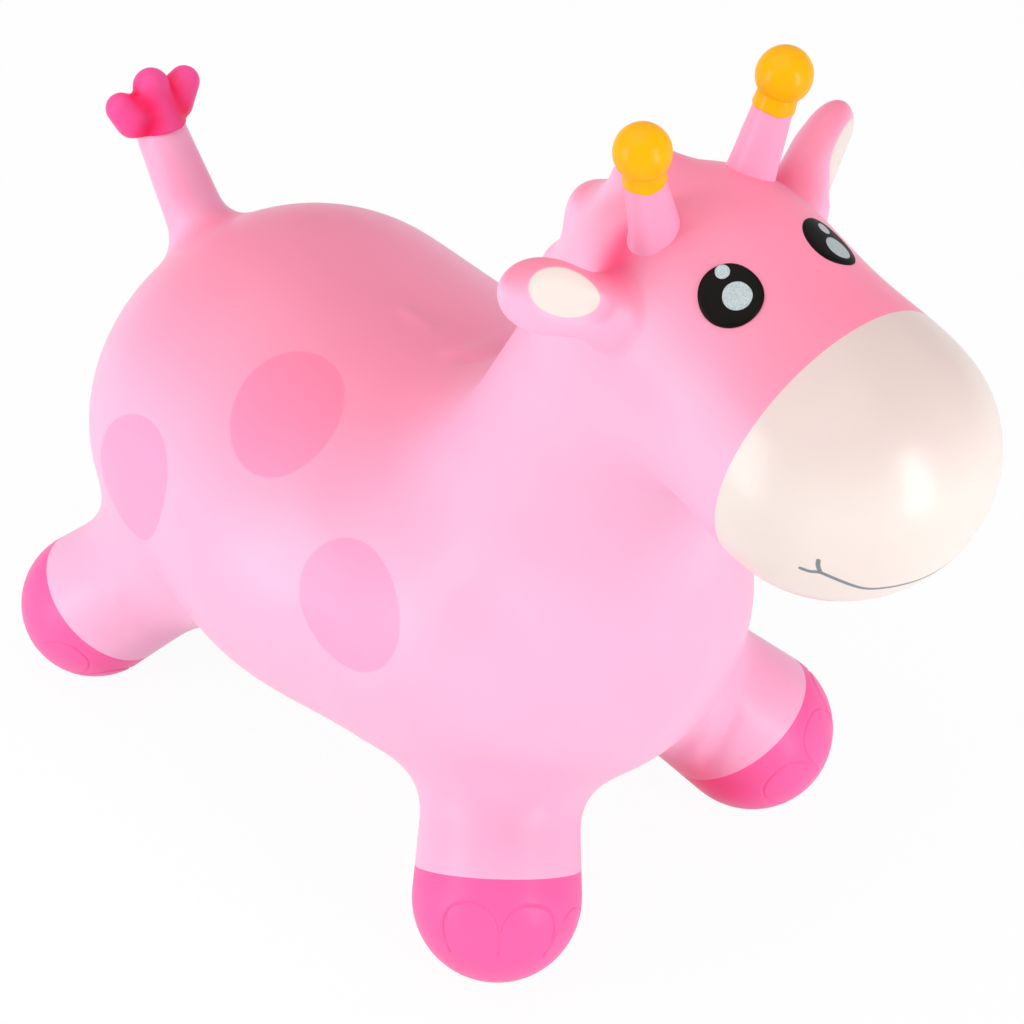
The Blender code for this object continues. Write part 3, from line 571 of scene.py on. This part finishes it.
def toe_curves(leg):
    """The outlines of the toes pressed into a right hoof."""
    power, root = TOE_ROUNDNESS
    share = np.linspace(-1, 1, TOE_POINTS)
    height = TOE_BOTTOM + (leg["toe_top"] - TOE_BOTTOM) * (1 - np.abs(share) ** power) ** (1 / root)
    ring = np.sqrt(np.maximum(leg["hoof_radius"] ** 2 - height ** 2, 0))
    curves = []
    for middle in leg["toes"]:
        angle = np.radians(middle + TOE_HALF_ANGLE * share)
        local = np.stack([height, ring * np.cos(angle), ring * np.sin(angle)], 1)
        curves.append(leg["hoof"] + local @ leg_axes(leg))
    return curves


TAIL_PAINT_POINT = TAIL_ROOT + unit(TAIL_AXIS) * TAIL_PAINT
TAIL_PAINT_NORMAL = np.array([-math.sin(TAIL_PAINT_LEAN), 0, math.cos(TAIL_PAINT_LEAN)])
TOES = toe_curves(FRONT_LEG) + toe_curves(REAR_LEG)
SMILE_LINE = curved(settle(skin_field, curved(SMILE)))
TICK_LINE = settle(skin_field, curved(SMILE_TICK, 12))
FOLDS = [(settle(skin_field, curved(line, 24)), width, depth) for line, width, depth in FOLD_LINES]


def smile_distance(points):
    folded = mirrored(points)
    return np.minimum(curve_distance(folded, SMILE_LINE), curve_distance(folded, TICK_LINE))


def toe_distance(points):
    folded = mirrored(points)
    return np.min([curve_distance(folded, curve) for curve in TOES], axis=0)


def wanted_length(points):
    """How long an edge may be, by what the skin carries there."""
    ear = np.linalg.norm(mirrored(points) - EAR_ROOT - unit(EAR_AXIS) * EAR_MIDDLE, axis=1)
    crest = np.abs(mane_field(points)) + np.abs(points[:, 1]) * MANE_EDGE_TAPER
    limits = [(ear, EAR_EDGE), (np.where(points[:, 2] > MANE_EDGE_LOW, crest, FAR), MANE_EDGE)]
    for lines in (toe_distance(points), smile_distance(points)):
        limits += [(lines, edge) for edge in LINE_EDGES]
    length = np.full(len(points), GRID)
    for distance, (reach, edge) in limits:
        length = np.where(distance < reach, np.minimum(length, edge), length)
    return np.maximum(length, FINEST)


def spot_distance(points):
    """Signed distance to the edge of the nearest spot, over zero inside."""
    best = np.full(len(points), OFF_MARK)
    for folded, ends in zip((points, mirrored(points), mirrored(points)), SPOTS):
        centre = np.mean(ends, axis=0)
        half = np.subtract(ends[::2], ends[1::2]) / 2
        reach = np.linalg.norm((folded - centre) @ np.linalg.pinv(half), axis=1)
        size = np.linalg.norm(half, axis=1).mean()
        near = np.linalg.norm(folded - centre, axis=1) < 2 * size
        best = np.maximum(best, np.where(near, (1 - reach) * size, OFF_MARK))
    return best


def painted_crease_shade(points):
    """Painted shade: how much deeper the colour is in creases and other places where shade falls."""
    folded = mirrored(points)
    depth = np.zeros(len(points))
    for centre, reach, strength in SHADES:
        depth += strength * np.exp(-(np.linalg.norm(folded - centre, axis=1) / reach) ** 2)
    return np.minimum(depth, 1.0)


def lifted(points, normals):
    """Painted shade on upward-facing skin: how far the skin faces up, and so how much deeper its colour is;
    less over the rump.
    """
    rear = 1 - smooth_step(points[:, 0], *TOP_SHADE_FRONT)
    facing = smooth_step(normals[:, 2] - TOP_SHADE_REAR * rear, *TOP_SHADE_FACING)
    return facing * smooth_step(points[:, 2], *TOP_SHADE_HEIGHT)


def ear_cream_distance(points):
    """Signed distance to the edge of an ear's cream patch, over zero inside."""
    best = np.full(len(points), OFF_MARK)
    for _name, side in SIDES:
        local = ear_local(points, side)
        scaled = (local[:, :2] - EAR_CREAM_CENTRE) / EAR_CREAM_RADII
        inside = (1 - np.linalg.norm(scaled, axis=1)) * EAR_CREAM_RADII[1]
        best = np.maximum(best, np.where(local[:, 2] > 0, inside, OFF_MARK))
    return best


def leg_line(leg, side):
    """A hoof's centre, and the direction up its leg."""
    return to_side(leg["hoof"], side), to_side(leg_axes(leg)[0], side)


def hoof_value(leg, name, side):
    """Over zero below the hoof's paint line."""
    hoof, turn = to_side(leg["hoof"], side), to_side(leg_axes(leg), side)
    height, slope = leg["lines"][name]

    def value(points):
        local = (points - hoof) @ turn.T
        return height + slope * local[:, 1] - local[:, 0]
    return value


def ear_value(side):
    root, axis = to_side(EAR_ROOT, side), to_side(unit(EAR_AXIS), side)

    def value(points):
        local = points - root
        along = local @ axis
        off = np.linalg.norm(local - along[:, None] * axis, axis=1)
        return np.minimum(along - EAR_CUT, EAR_GUARD - off)
    return value


def plane_value(point, normal, radius=1.0, guard=None):
    """Over zero beyond a plane, within a radius of the guard or of its point."""
    point, normal = np.array(point, float), unit(normal)
    middle = point if guard is None else guard

    def value(points):
        near = radius - np.linalg.norm(points - middle, axis=1)
        return np.minimum((points - point) @ normal, near)
    return value


def muzzle_value(points):
    """Over zero in front of the cream's bowed edge."""
    along = (points - MUZZLE_LINE["point"]) @ unit(MUZZLE_LINE["normal"])
    bow = MUZZLE_LINE["bow"] * (1 - (points[:, 1] / MUZZLE_LINE["half_width"]) ** 2)
    return along - bow


def valve_value(points):
    off = np.linalg.norm(points[:, :2] - VALVE_CENTRE, axis=1)
    return np.where(points[:, 2] < VALVE_TOP, VALVE_HOLE - off, NOT_VALVE)


def relief(points):
    """How far the skin stands out from its field: grooves, folds and soft unevenness."""
    height = -TOE_GROOVE_DEPTH * np.exp(-(toe_distance(points) / TOE_GROOVE_WIDTH * 2) ** 2)
    height -= SMILE_DEPTH * np.exp(-(smile_distance(points) / SMILE_WIDTH * 2) ** 2)
    for curve, width, depth in FOLDS:
        height += depth * np.exp(-(curve_distance(points, curve, FOLD_FAR) / width) ** 2)
    for turns, phase in WAVES:
        height += WAVE_HEIGHT * np.sin(points @ np.array(turns, float) + phase)
    return height


def skin_parts():
    """The whole skin as one mesh with a label on each face."""
    points, faces = surface_net(skin_field, SKIN_LOW, SKIN_HIGH, GRID)
    skin = Skin(settle(skin_field, points), faces, "torso")
    skin.refine(wanted_length, skin_field, REFINE_ROUNDS)
    skin.part("valve", valve_value, "torso")
    skin.part("head", plane_value(NECK_LOW, (math.sin(NECK_TILT), 0, math.cos(NECK_TILT))), "torso")
    skin.part("muzzle", muzzle_value, "head")
    for name, side in SIDES:
        skin.part(f"ear_{name}", ear_value(side), "head")
        for end, leg in LEGS:
            hoof, up = leg_line(leg, side)
            below = plane_value(hoof + up * LEG_REACH, -up, LEG_GUARD, hoof)
            skin.part(f"leg_{end}_{name}", below, "torso")
            skin.part(f"hoof_{end}_{name}", hoof_value(leg, name, side), f"leg_{end}_{name}")
    cut = TAIL_ROOT + unit(TAIL_AXIS) * TAIL_CUT
    skin.part("tail", plane_value(cut, TAIL_AXIS, TAIL_GUARD), "torso")
    skin.part("under_tuft", plane_value(TAIL_PAINT_POINT, TAIL_PAINT_NORMAL), "tail")
    return skin


def make_mesh(name, points, faces, normals=None, values=None):
    mesh = bpy.data.meshes.new(name)
    mesh.from_pydata(points.tolist(), [], faces.tolist())
    mesh.update(calc_edges=True)
    mesh.validate()
    mesh.shade_smooth()
    if normals is not None:
        mesh.normals_split_custom_set_from_vertices(normals.tolist())
    for key, array in (values or {}).items():
        attribute = mesh.attributes.new(key, "FLOAT", "POINT")
        attribute.data.foreach_set("value", np.asarray(array, np.float32))
    obj = bpy.data.objects.new(name, mesh)
    bpy.context.scene.collection.objects.link(obj)
    return obj


def ring_faces(rings, count):
    """Triangles between rings of points."""
    row, step = np.mgrid[:rings - 1, :count]
    a, b = row * count + step, row * count + (step + 1) % count
    return np.stack([a, b, b + count, a, b + count, a + count], -1).reshape(-1, 3)


def welded(points, faces):
    """The same triangles with coinciding points joined and the flat ones dropped."""
    _, first, back = np.unique(np.round(points, 7), axis=0, return_index=True, return_inverse=True)
    faces = back.reshape(-1)[faces]
    whole = (faces[:, 0] != faces[:, 1]) & (faces[:, 1] != faces[:, 2]) & (faces[:, 2] != faces[:, 0])
    return points[first], faces[whole]


def lathe(profile, count):
    """Points and triangles of a profile of (height, radius) turned about +Z."""
    angle = math.tau * np.arange(count) / count
    rings = [np.stack([radius * np.cos(angle), radius * np.sin(angle), np.full(count, height)], 1)
             for height, radius in profile]
    return np.concatenate(rings), ring_faces(len(profile), count)


def smooth_profile(profile, count):
    """A profile with points added along a smooth line."""
    return curved([(height, radius, 0) for height, radius in profile], count)[:, :2].tolist()


def finish(obj, material):
    obj.data.materials.append(material)
    return obj


def new_material(name):
    made = bpy.data.materials.new(name)
    made.use_nodes = True
    return made, made.node_tree, made.node_tree.nodes["Principled BSDF"]


def feed(tree, target, inputs):
    """Gives each input of a node its value, or links it to a socket."""
    for key, value in inputs.items():
        if isinstance(value, bpy.types.NodeSocket):
            tree.links.new(value, target.inputs[key])
        else:
            target.inputs[key].default_value = value
    return target


def node(tree, kind, inputs, **settings):
    """The outputs of a new node."""
    made = tree.nodes.new(kind)
    for key, value in settings.items():
        setattr(made, key, value)
    return feed(tree, made, inputs).outputs


def object_place(tree):
    return node(tree, "ShaderNodeTexCoord", {})["Object"]


def noise(tree, scale, detail=3.0):
    inputs = {"Vector": object_place(tree), "Scale": scale, "Detail": detail}
    return node(tree, "ShaderNodeTexNoise", inputs)["Fac"]


def ranged(tree, source, low, high, out_low=0.0, out_high=1.0, curve="LINEAR"):
    inputs = {"Value": source, "From Min": low, "From Max": high, "To Min": out_low, "To Max": out_high}
    return node(tree, "ShaderNodeMapRange", inputs, interpolation_type=curve)["Result"]


def mixed(tree, share, first, second, mode="MIX"):
    """A colour between two; each is a socket or a colour."""
    return node(tree, "ShaderNodeMix", {0: share, 6: first, 7: second}, data_type="RGBA", blend_type=mode)[2]


def attribute(tree, name):
    return node(tree, "ShaderNodeAttribute", {}, attribute_name=name)["Fac"]


def bump(tree, height, strength, depth, below=None):
    """A normal raised by a height, over the bumps below."""
    inputs = {"Height": height, "Strength": strength, "Distance": depth}
    if below is not None:
        inputs["Normal"] = below
    return node(tree, "ShaderNodeBump", inputs)["Normal"]


def vinyl(name, colour, top_shade_colour, crease_shade, roughness=0.42, coat=0.07, gloss=0.30, marks=()):
    """Soft semi-gloss vinyl with painted shade, deeper in colour where it faces up and in creases; faintly
    mottled, with a fine skin.

    Marks are (attribute in metres, colour, edge width): painted where the attribute is over zero.
    """
    made, tree, shader = new_material(name)
    # Painted shade: the deeper colour where the skin faces up, then the crease colour in creases
    base = mixed(tree, attribute(tree, "lift"), colour, top_shade_colour)
    base = mixed(tree, attribute(tree, "crease_shade"), base, crease_shade)
    mottle = ranged(tree, noise(tree, MOTTLE_SCALE, 1.0), 0.25, 0.75, curve="SMOOTHSTEP")
    base = mixed(tree, 1.0, base, mixed(tree, mottle, WHITE, MOTTLE_SHADE), "MULTIPLY")
    for key, paint, edge in marks:
        mask = ranged(tree, attribute(tree, key), -edge, edge, curve="SMOOTHSTEP")
        if key == "spot":
            paint = mixed(tree, 1.0, base, paint, "MULTIPLY")
        base = mixed(tree, mask, base, paint)
    bumps = None
    for scale, strength, depth in (DENTS, GRAIN):
        bumps = bump(tree, noise(tree, scale, 2.0), strength, depth, bumps)
    feed(tree, shader, {
        "Base Color": base,
        "Roughness": ranged(tree, noise(tree, SHEEN_SCALE), 0.3, 0.7, roughness - 0.035, roughness + 0.045),
        "Normal": bumps,
        "Specular IOR Level": gloss,
        "Coat Weight": coat,
        "Coat Roughness": 0.16,
    })
    return made


def glitter():
    """Silver paint full of fine flakes."""
    made, tree, shader = new_material("glint_silver")
    cells = node(tree, "ShaderNodeTexVoronoi", {"Vector": object_place(tree), "Scale": FLAKE_SCALE})
    feed(tree, shader, {
        "Base Color": mixed(tree, ranged(tree, cells["Color"], 0.0, 1.0), DARK_FLAKE, LIGHT_FLAKE),
        "Roughness": ranged(tree, cells["Distance"], 0.0, 0.6, 0.30, 0.55),
        "Normal": bump(tree, cells["Distance"], *FLAKE_BUMP),
        "Metallic": 0.35,
    })
    return made


def head_normals(points):
    """The directions that the head's surface faces."""
    slopes = gradient(trunk_field, points)
    return slopes / np.linalg.norm(slopes, axis=1)[:, None]


def face_axes(centre):
    """Directions along the head's surface, level and upwards."""
    return axes_of(head_normals(centre[None])[0])[1:]


def disc_on_head(centre, radius, rings, heights, count, wobble):
    """Points and triangles of a disc that follows the head, at a height for each ring."""
    along, across = face_axes(centre)
    angle = math.tau * np.arange(count)[:, None] / count
    rim = radius * (1 + wobble * (np.sin(3 * angle + 1.0) + 0.6 * np.sin(5 * angle)))
    spokes = rim * (np.cos(angle) * along + np.sin(angle) * across)
    points = settle(trunk_field, np.concatenate([centre + ring * spokes for ring in rings]), SETTLE_STEPS)
    points[-count:] = points[-count]
    points = points + head_normals(points) * np.repeat(heights, count)[:, None]
    return welded(points, ring_faces(len(rings), count))


def eye_piece(name):
    """A raised disc that lies on the head, with a rounded, slightly uneven rim, and its two glints."""
    place, *glint_places = EYES[name]
    centre = settle(trunk_field, np.array([place]), SETTLE_STEPS)[0]
    along, across = face_axes(centre)
    heights = np.multiply(EYE_RAISE_SHARES, EYE_RAISE)
    disc = disc_on_head(centre, EYE_RADIUS, EYE_RINGS, heights, EYE_SIDES, EYE_WOBBLE)
    eye = make_mesh(f"eye_print_{name}", *disc)
    glints = []
    heights = np.add(GLINT_HEIGHTS, EYE_RAISE)
    for label, (right, up), radius in zip(("large", "small"), glint_places, GLINT_RADII):
        middle = centre + right * along + up * across
        disc = disc_on_head(middle, radius, GLINT_RINGS, heights, GLINT_SIDES, GLINT_WOBBLE)
        glints.append(make_mesh(f"eye_glint_{label}_{name}", *disc))
    return eye, glints


def upright(local, axis):
    """The places of points given about +Z, with +Z along the axis."""
    return local @ np.roll(axes_of(axis, Y), -1, axis=0)


def horn_stalk(name):
    """A stalk whose foot follows the head's surface, with its root and its axis."""
    root, top = np.array(HORN_ROOTS[name]), np.array(HORN_TIPS[name])
    axis = unit(top - root)
    local, faces = lathe(smooth_profile(HORN_PROFILE, HORN_RINGS), HORN_SIDES)
    points = root + upright(local, axis)
    below = settle(trunk_field, points, SETTLE_STEPS)
    sunk = below - head_normals(below) * HORN_SINK
    outer = smooth_step(-local[:, 2], *HORN_FOOT_RANGE)[:, None]
    points = np.where(local[:, 2:] < HORN_FOOT, points * (1 - outer) + sunk * outer, points)
    longer = np.linalg.norm(top - root) - HORN_HEIGHT
    points += (local[:, 2] / HORN_HEIGHT * longer)[:, None].clip(0) * axis
    # An even share of the painted top shade
    values = {"lift": np.full(len(points), STALK_TOP_SHADE)}
    return make_mesh(f"horn_stalk_{name}", points, faces, values=values), root, axis


def horn_knob(name):
    """A ball and its collar, with the collar's slightly uneven edge."""
    top, centre = np.array(HORN_TIPS[name]), np.array(KNOB_CENTRES[name])
    reach = np.linalg.norm(centre - top)
    collar_height, collar_radius = COLLAR_PROFILE[-1]
    low = math.asin(collar_radius / KNOB_RADIUS)
    longer = (reach - KNOB_RADIUS * math.cos(low) + KNOB_SINK) / collar_height
    profile = [(height * longer, radius) for height, radius in smooth_profile(COLLAR_PROFILE, COLLAR_RINGS)]
    for angle in np.linspace(low + KNOB_START_ANGLE, math.pi, KNOB_RINGS):
        stretch = KNOB_STRETCH if angle > math.pi / 2 else 1.0
        profile.append((reach - KNOB_RADIUS * stretch * math.cos(angle), KNOB_RADIUS * math.sin(angle)))
    points, faces = lathe(profile, KNOB_SIDES)
    angle = np.arctan2(points[:, 1], points[:, 0])
    edge = smooth_step(-points[:, 2], -COLLAR_EDGE, 0.0)
    wave = COLLAR_WAVE_SHARE * np.sin(7 * angle + 1.3 * np.sin(2 * angle))
    points[:, :2] *= (1 + edge * wave)[:, None]
    points[:, 2] += edge * COLLAR_WAVE * np.sin(4 * angle + 0.7)
    points[-KNOB_SIDES:, :2] = 0
    points, faces = welded(top + upright(points, centre - top), faces)
    return make_mesh(f"horn_knob_{name}_ball", points, faces)


def tail_local(points):
    """Places along the tail from its root, to the left, and forwards."""
    along = unit(TAIL_AXIS)
    return (points - TAIL_ROOT) @ np.array([along, Y, np.cross(Y, along)]).T


def tuft_field(points):
    """Three leaf-like lobes on the end of the tail."""
    local = tail_local(points)
    field = smooth_min(cone(local, *TUFT_STEM), cone(local, *TUFT_MIDDLE), TUFT_BLEND)
    lobes = np.minimum(*[cone(local, *lobe) for lobe in TUFT_LOBES])
    field = smooth_min(field, lobes, TUFT_CREASE)
    return smooth_max(field, (TAIL_PAINT_POINT - points) @ TAIL_PAINT_NORMAL, TUFT_RIM)


def tuft_crease_shade(points):
    """Painted shade in the creases between the lobes: how near a point lies to them."""
    local = tail_local(points)
    middle = np.abs(np.minimum(cone(local, *TUFT_STEM), cone(local, *TUFT_MIDDLE)))
    off = np.min([middle + np.abs(cone(local, *lobe)) for lobe in TUFT_LOBES], axis=0)
    return np.exp(-(off / TUFT_SHADE_REACH) ** 2)


def tuft_mesh():
    low, high = TAIL_PAINT_POINT - TUFT_REACH, TAIL_PAINT_POINT + TUFT_REACH
    points, faces = surface_net(tuft_field, low, high, TUFT_GRID)
    points = settle(tuft_field, points)
    # Painted shade in the creases between the lobes
    return make_mesh("tail_tuft_vinyl", points, faces, values={"crease_shade": tuft_crease_shade(points)})


def area_light(name, place, size, power):
    data = bpy.data.lights.new(name, "AREA")
    data.shape = "RECTANGLE"
    data.size, data.size_y = size
    data.energy = power
    obj = bpy.data.objects.new(name, data)
    obj.location = place
    obj.rotation_euler = (Vector(LAMP_TARGET) - Vector(place)).to_track_quat("-Z", "Y").to_euler()
    bpy.context.scene.collection.objects.link(obj)


def maths(tree, operation, first, second):
    return node(tree, "ShaderNodeMath", {0: first, 1: second}, operation=operation, use_clamp=True)[0]


def white_for_camera(tree, surface, share):
    """Shows plain white to the camera and in reflections, over a share of the surface's own shading."""
    path = node(tree, "ShaderNodeLightPath", {})
    seen = maths(tree, "ADD", path["Is Glossy Ray"], path["Is Transmission Ray"])
    seen = maths(tree, "ADD", path["Is Camera Ray"], seen)
    white = node(tree, "ShaderNodeEmission", {"Color": WHITE, "Strength": 1.0})
    inputs = {0: maths(tree, "MULTIPLY", seen, share), 1: surface, 2: white[0]}
    return node(tree, "ShaderNodeMixShader", inputs)[0]


def studio():
    corners = np.array([(-1, -1, 0), (1, -1, 0), (1, 1, 0), (-1, 1, 0)]) * FLOOR_REACH
    floor = make_mesh("floor", corners, np.array([[0, 1, 2], [0, 2, 3]]))
    made, tree, shader = new_material("floor_white")
    feed(tree, shader, {"Base Color": FLOOR_WHITE, "Roughness": 0.9, "Specular IOR Level": 0.1})
    surface = white_for_camera(tree, shader.outputs[0], FLOOR_WHITE_SHARE)
    feed(tree, tree.nodes["Material Output"], {"Surface": surface})
    floor.data.materials.append(made)

    world = bpy.data.worlds.new("studio")
    bpy.context.scene.world = world
    world.use_nodes = True
    tree = world.node_tree
    sky = feed(tree, tree.nodes["Background"], {"Color": WHITE, "Strength": SKY_STRENGTH})
    white = node(tree, "ShaderNodeBackground", {"Color": WHITE, "Strength": 1.0})
    path = node(tree, "ShaderNodeLightPath", {})
    inputs = {0: path["Is Camera Ray"], 1: sky.outputs[0], 2: white[0]}
    feed(tree, tree.nodes["World Output"], {"Surface": node(tree, "ShaderNodeMixShader", inputs)[0]})
    for name, (place, size, power) in LAMPS.items():
        area_light(name, place, size, power)


def camera():
    turn = Matrix.Rotation(CAMERA_AZIMUTH, 4, "Z") @ Matrix.Rotation(math.pi / 2 - CAMERA_ELEVATION, 4, "X")
    turn = turn @ Matrix.Rotation(CAMERA_ROLL, 4, "Z")
    data = bpy.data.cameras.new("camera")
    data.sensor_width, data.lens = SENSOR_WIDTH, CAMERA_LENS
    obj = bpy.data.objects.new("camera", data)
    back = Matrix.Translation((0, 0, CAMERA_DISTANCE))
    obj.matrix_world = Matrix.Translation(CAMERA_TARGET) @ turn @ back
    bpy.context.scene.collection.objects.link(obj)
    bpy.context.scene.camera = obj


# The pinks' deeper and crease colours are painted shade
pink = vinyl("pink_skin", PINK, TOP_SHADE_PINK, CREASE_SHADE_PINK, marks=(("spot", SPOT_SHADE, SPOT_EDGE),))
ear_pink = vinyl("ear_skin", PINK, TOP_SHADE_PINK, CREASE_SHADE_PINK, marks=(("cream", EAR_CREAM, CREAM_EDGE),))
# The cream's deeper colour is painted shade, on its upper side and in creases
cream = vinyl("cream_skin", CREAM, SHADE_CREAM, SHADE_CREAM, roughness=0.345, coat=0.22, gloss=0.4,
              marks=(("smile", SILVER, SMILE_EDGE),))
# The hooves' deeper magenta is painted shade in creases and under the body
magenta = vinyl("magenta_skin", MAGENTA, MAGENTA, CREASE_SHADE_MAGENTA, coat=0.05, gloss=0.22)
yellow = vinyl("yellow_skin", YELLOW, YELLOW, YELLOW, roughness=0.345, coat=0.16, gloss=0.1)
# The tuft's deeper raspberry is painted shade in the creases between its lobes
raspberry = vinyl("raspberry_skin", RASPBERRY, RASPBERRY, CREASE_SHADE_RASPBERRY, coat=0.04, gloss=0.20)
eye_black = vinyl("eye_black", BLACK, BLACK, BLACK, coat=0.0, gloss=0.10)
silver = glitter()
grey = vinyl("valve_grey", VALVE_GREY, VALVE_GREY, VALVE_GREY, roughness=0.38)

skin = skin_parts()
MASKS = dict(
    spot=spot_distance(skin.points),
    cream=ear_cream_distance(skin.points),
    smile=SMILE_WIDTH / 2 - smile_distance(skin.points),
)
skin.points = skin.points + skin.normals() * relief(skin.points)[:, None]
normals = skin.normals()
# Painted shade: deeper colour where the skin faces up, and in creases
MASKS["lift"] = lifted(skin.points, normals)
MASKS["crease_shade"] = painted_crease_shade(skin.points)


# Looks of the skin's pieces: material, slot, and the marks painted on
PINK_SKIN, EAR_SKIN = (pink, "pink_vinyl", ("spot",)), (ear_pink, "pink_vinyl", ("cream",))
CREAM_SKIN, MAGENTA_SKIN = (cream, "cream_vinyl", ("smile",)), (magenta, "magenta_vinyl", ())


def skin_piece(label, name, look, *nodes):
    """A labelled part of the skin as a piece, in place of the nodes."""
    material, slot, masks = look
    faces = skin.faces[skin.labels == label]
    used, back = np.unique(faces, return_inverse=True)
    # Each piece carries the painted shade on tops and in creases, and its own marks
    values = {key: MASKS[key][used] for key in ("lift", "crease_shade") + masks}
    piece = make_mesh(name, skin.points[used], back.reshape(-1, 3), normals[used], values)
    finish(piece, material)
    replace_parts(piece, *nodes)
    return piece


torso = skin_piece("torso", "torso_vinyl", PINK_SKIN, "torso_skin")
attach(torso, "torso")
head = skin_piece("head", "head_vinyl", PINK_SKIN, "neck_skin", "head_skin", "mane_crest")
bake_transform(head)
muzzle = skin_piece("muzzle", "muzzle_vinyl", CREAM_SKIN, "muzzle")
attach(muzzle, "head")
tail = skin_piece("tail", "tail_vinyl", PINK_SKIN, "tail_stem")
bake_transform(tail)

for name, side in SIDES:
    ear = skin_piece(f"ear_{name}", f"ear_vinyl_{name}", EAR_SKIN, f"ear_{name}")
    root, axis = to_side(EAR_ROOT, side), unit(to_side(EAR_AXIS, side))
    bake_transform(ear)
    for end, leg in LEGS:
        joint = f"{end}_{name}"
        limb = skin_piece(f"leg_{joint}", f"leg_vinyl_{joint}", PINK_SKIN, f"leg_{joint}")
        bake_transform(limb)
        hoof = skin_piece(f"hoof_{joint}", f"hoof_vinyl_{joint}", MAGENTA_SKIN, f"hoof_{joint}")
        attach(hoof, f"hoof_{joint}")
    stalk, root, axis = horn_stalk(name)
    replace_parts(finish(stalk, pink), f"horn_{name}")
    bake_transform(stalk)
    knob = horn_knob(name)
    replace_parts(finish(knob, yellow), f"horn_knob_{name}")
    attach(knob, f"horn_{name}")
    eye, glints = eye_piece(name)
    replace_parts(finish(eye, eye_black), f"eye_{name}")
    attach(eye, "head")
    for glint in glints:
        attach(finish(glint, silver), "head")

tuft = tuft_mesh()
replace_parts(finish(tuft, raspberry), "tail_tuft")
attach(tuft, "tail")

for name in ("valve_collar", "valve_plug"):
    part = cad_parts[name]
    part.data.materials.clear()
    part.data.materials.append(grey)

studio()
camera()
bpy.context.scene.view_settings.view_transform = "Standard"
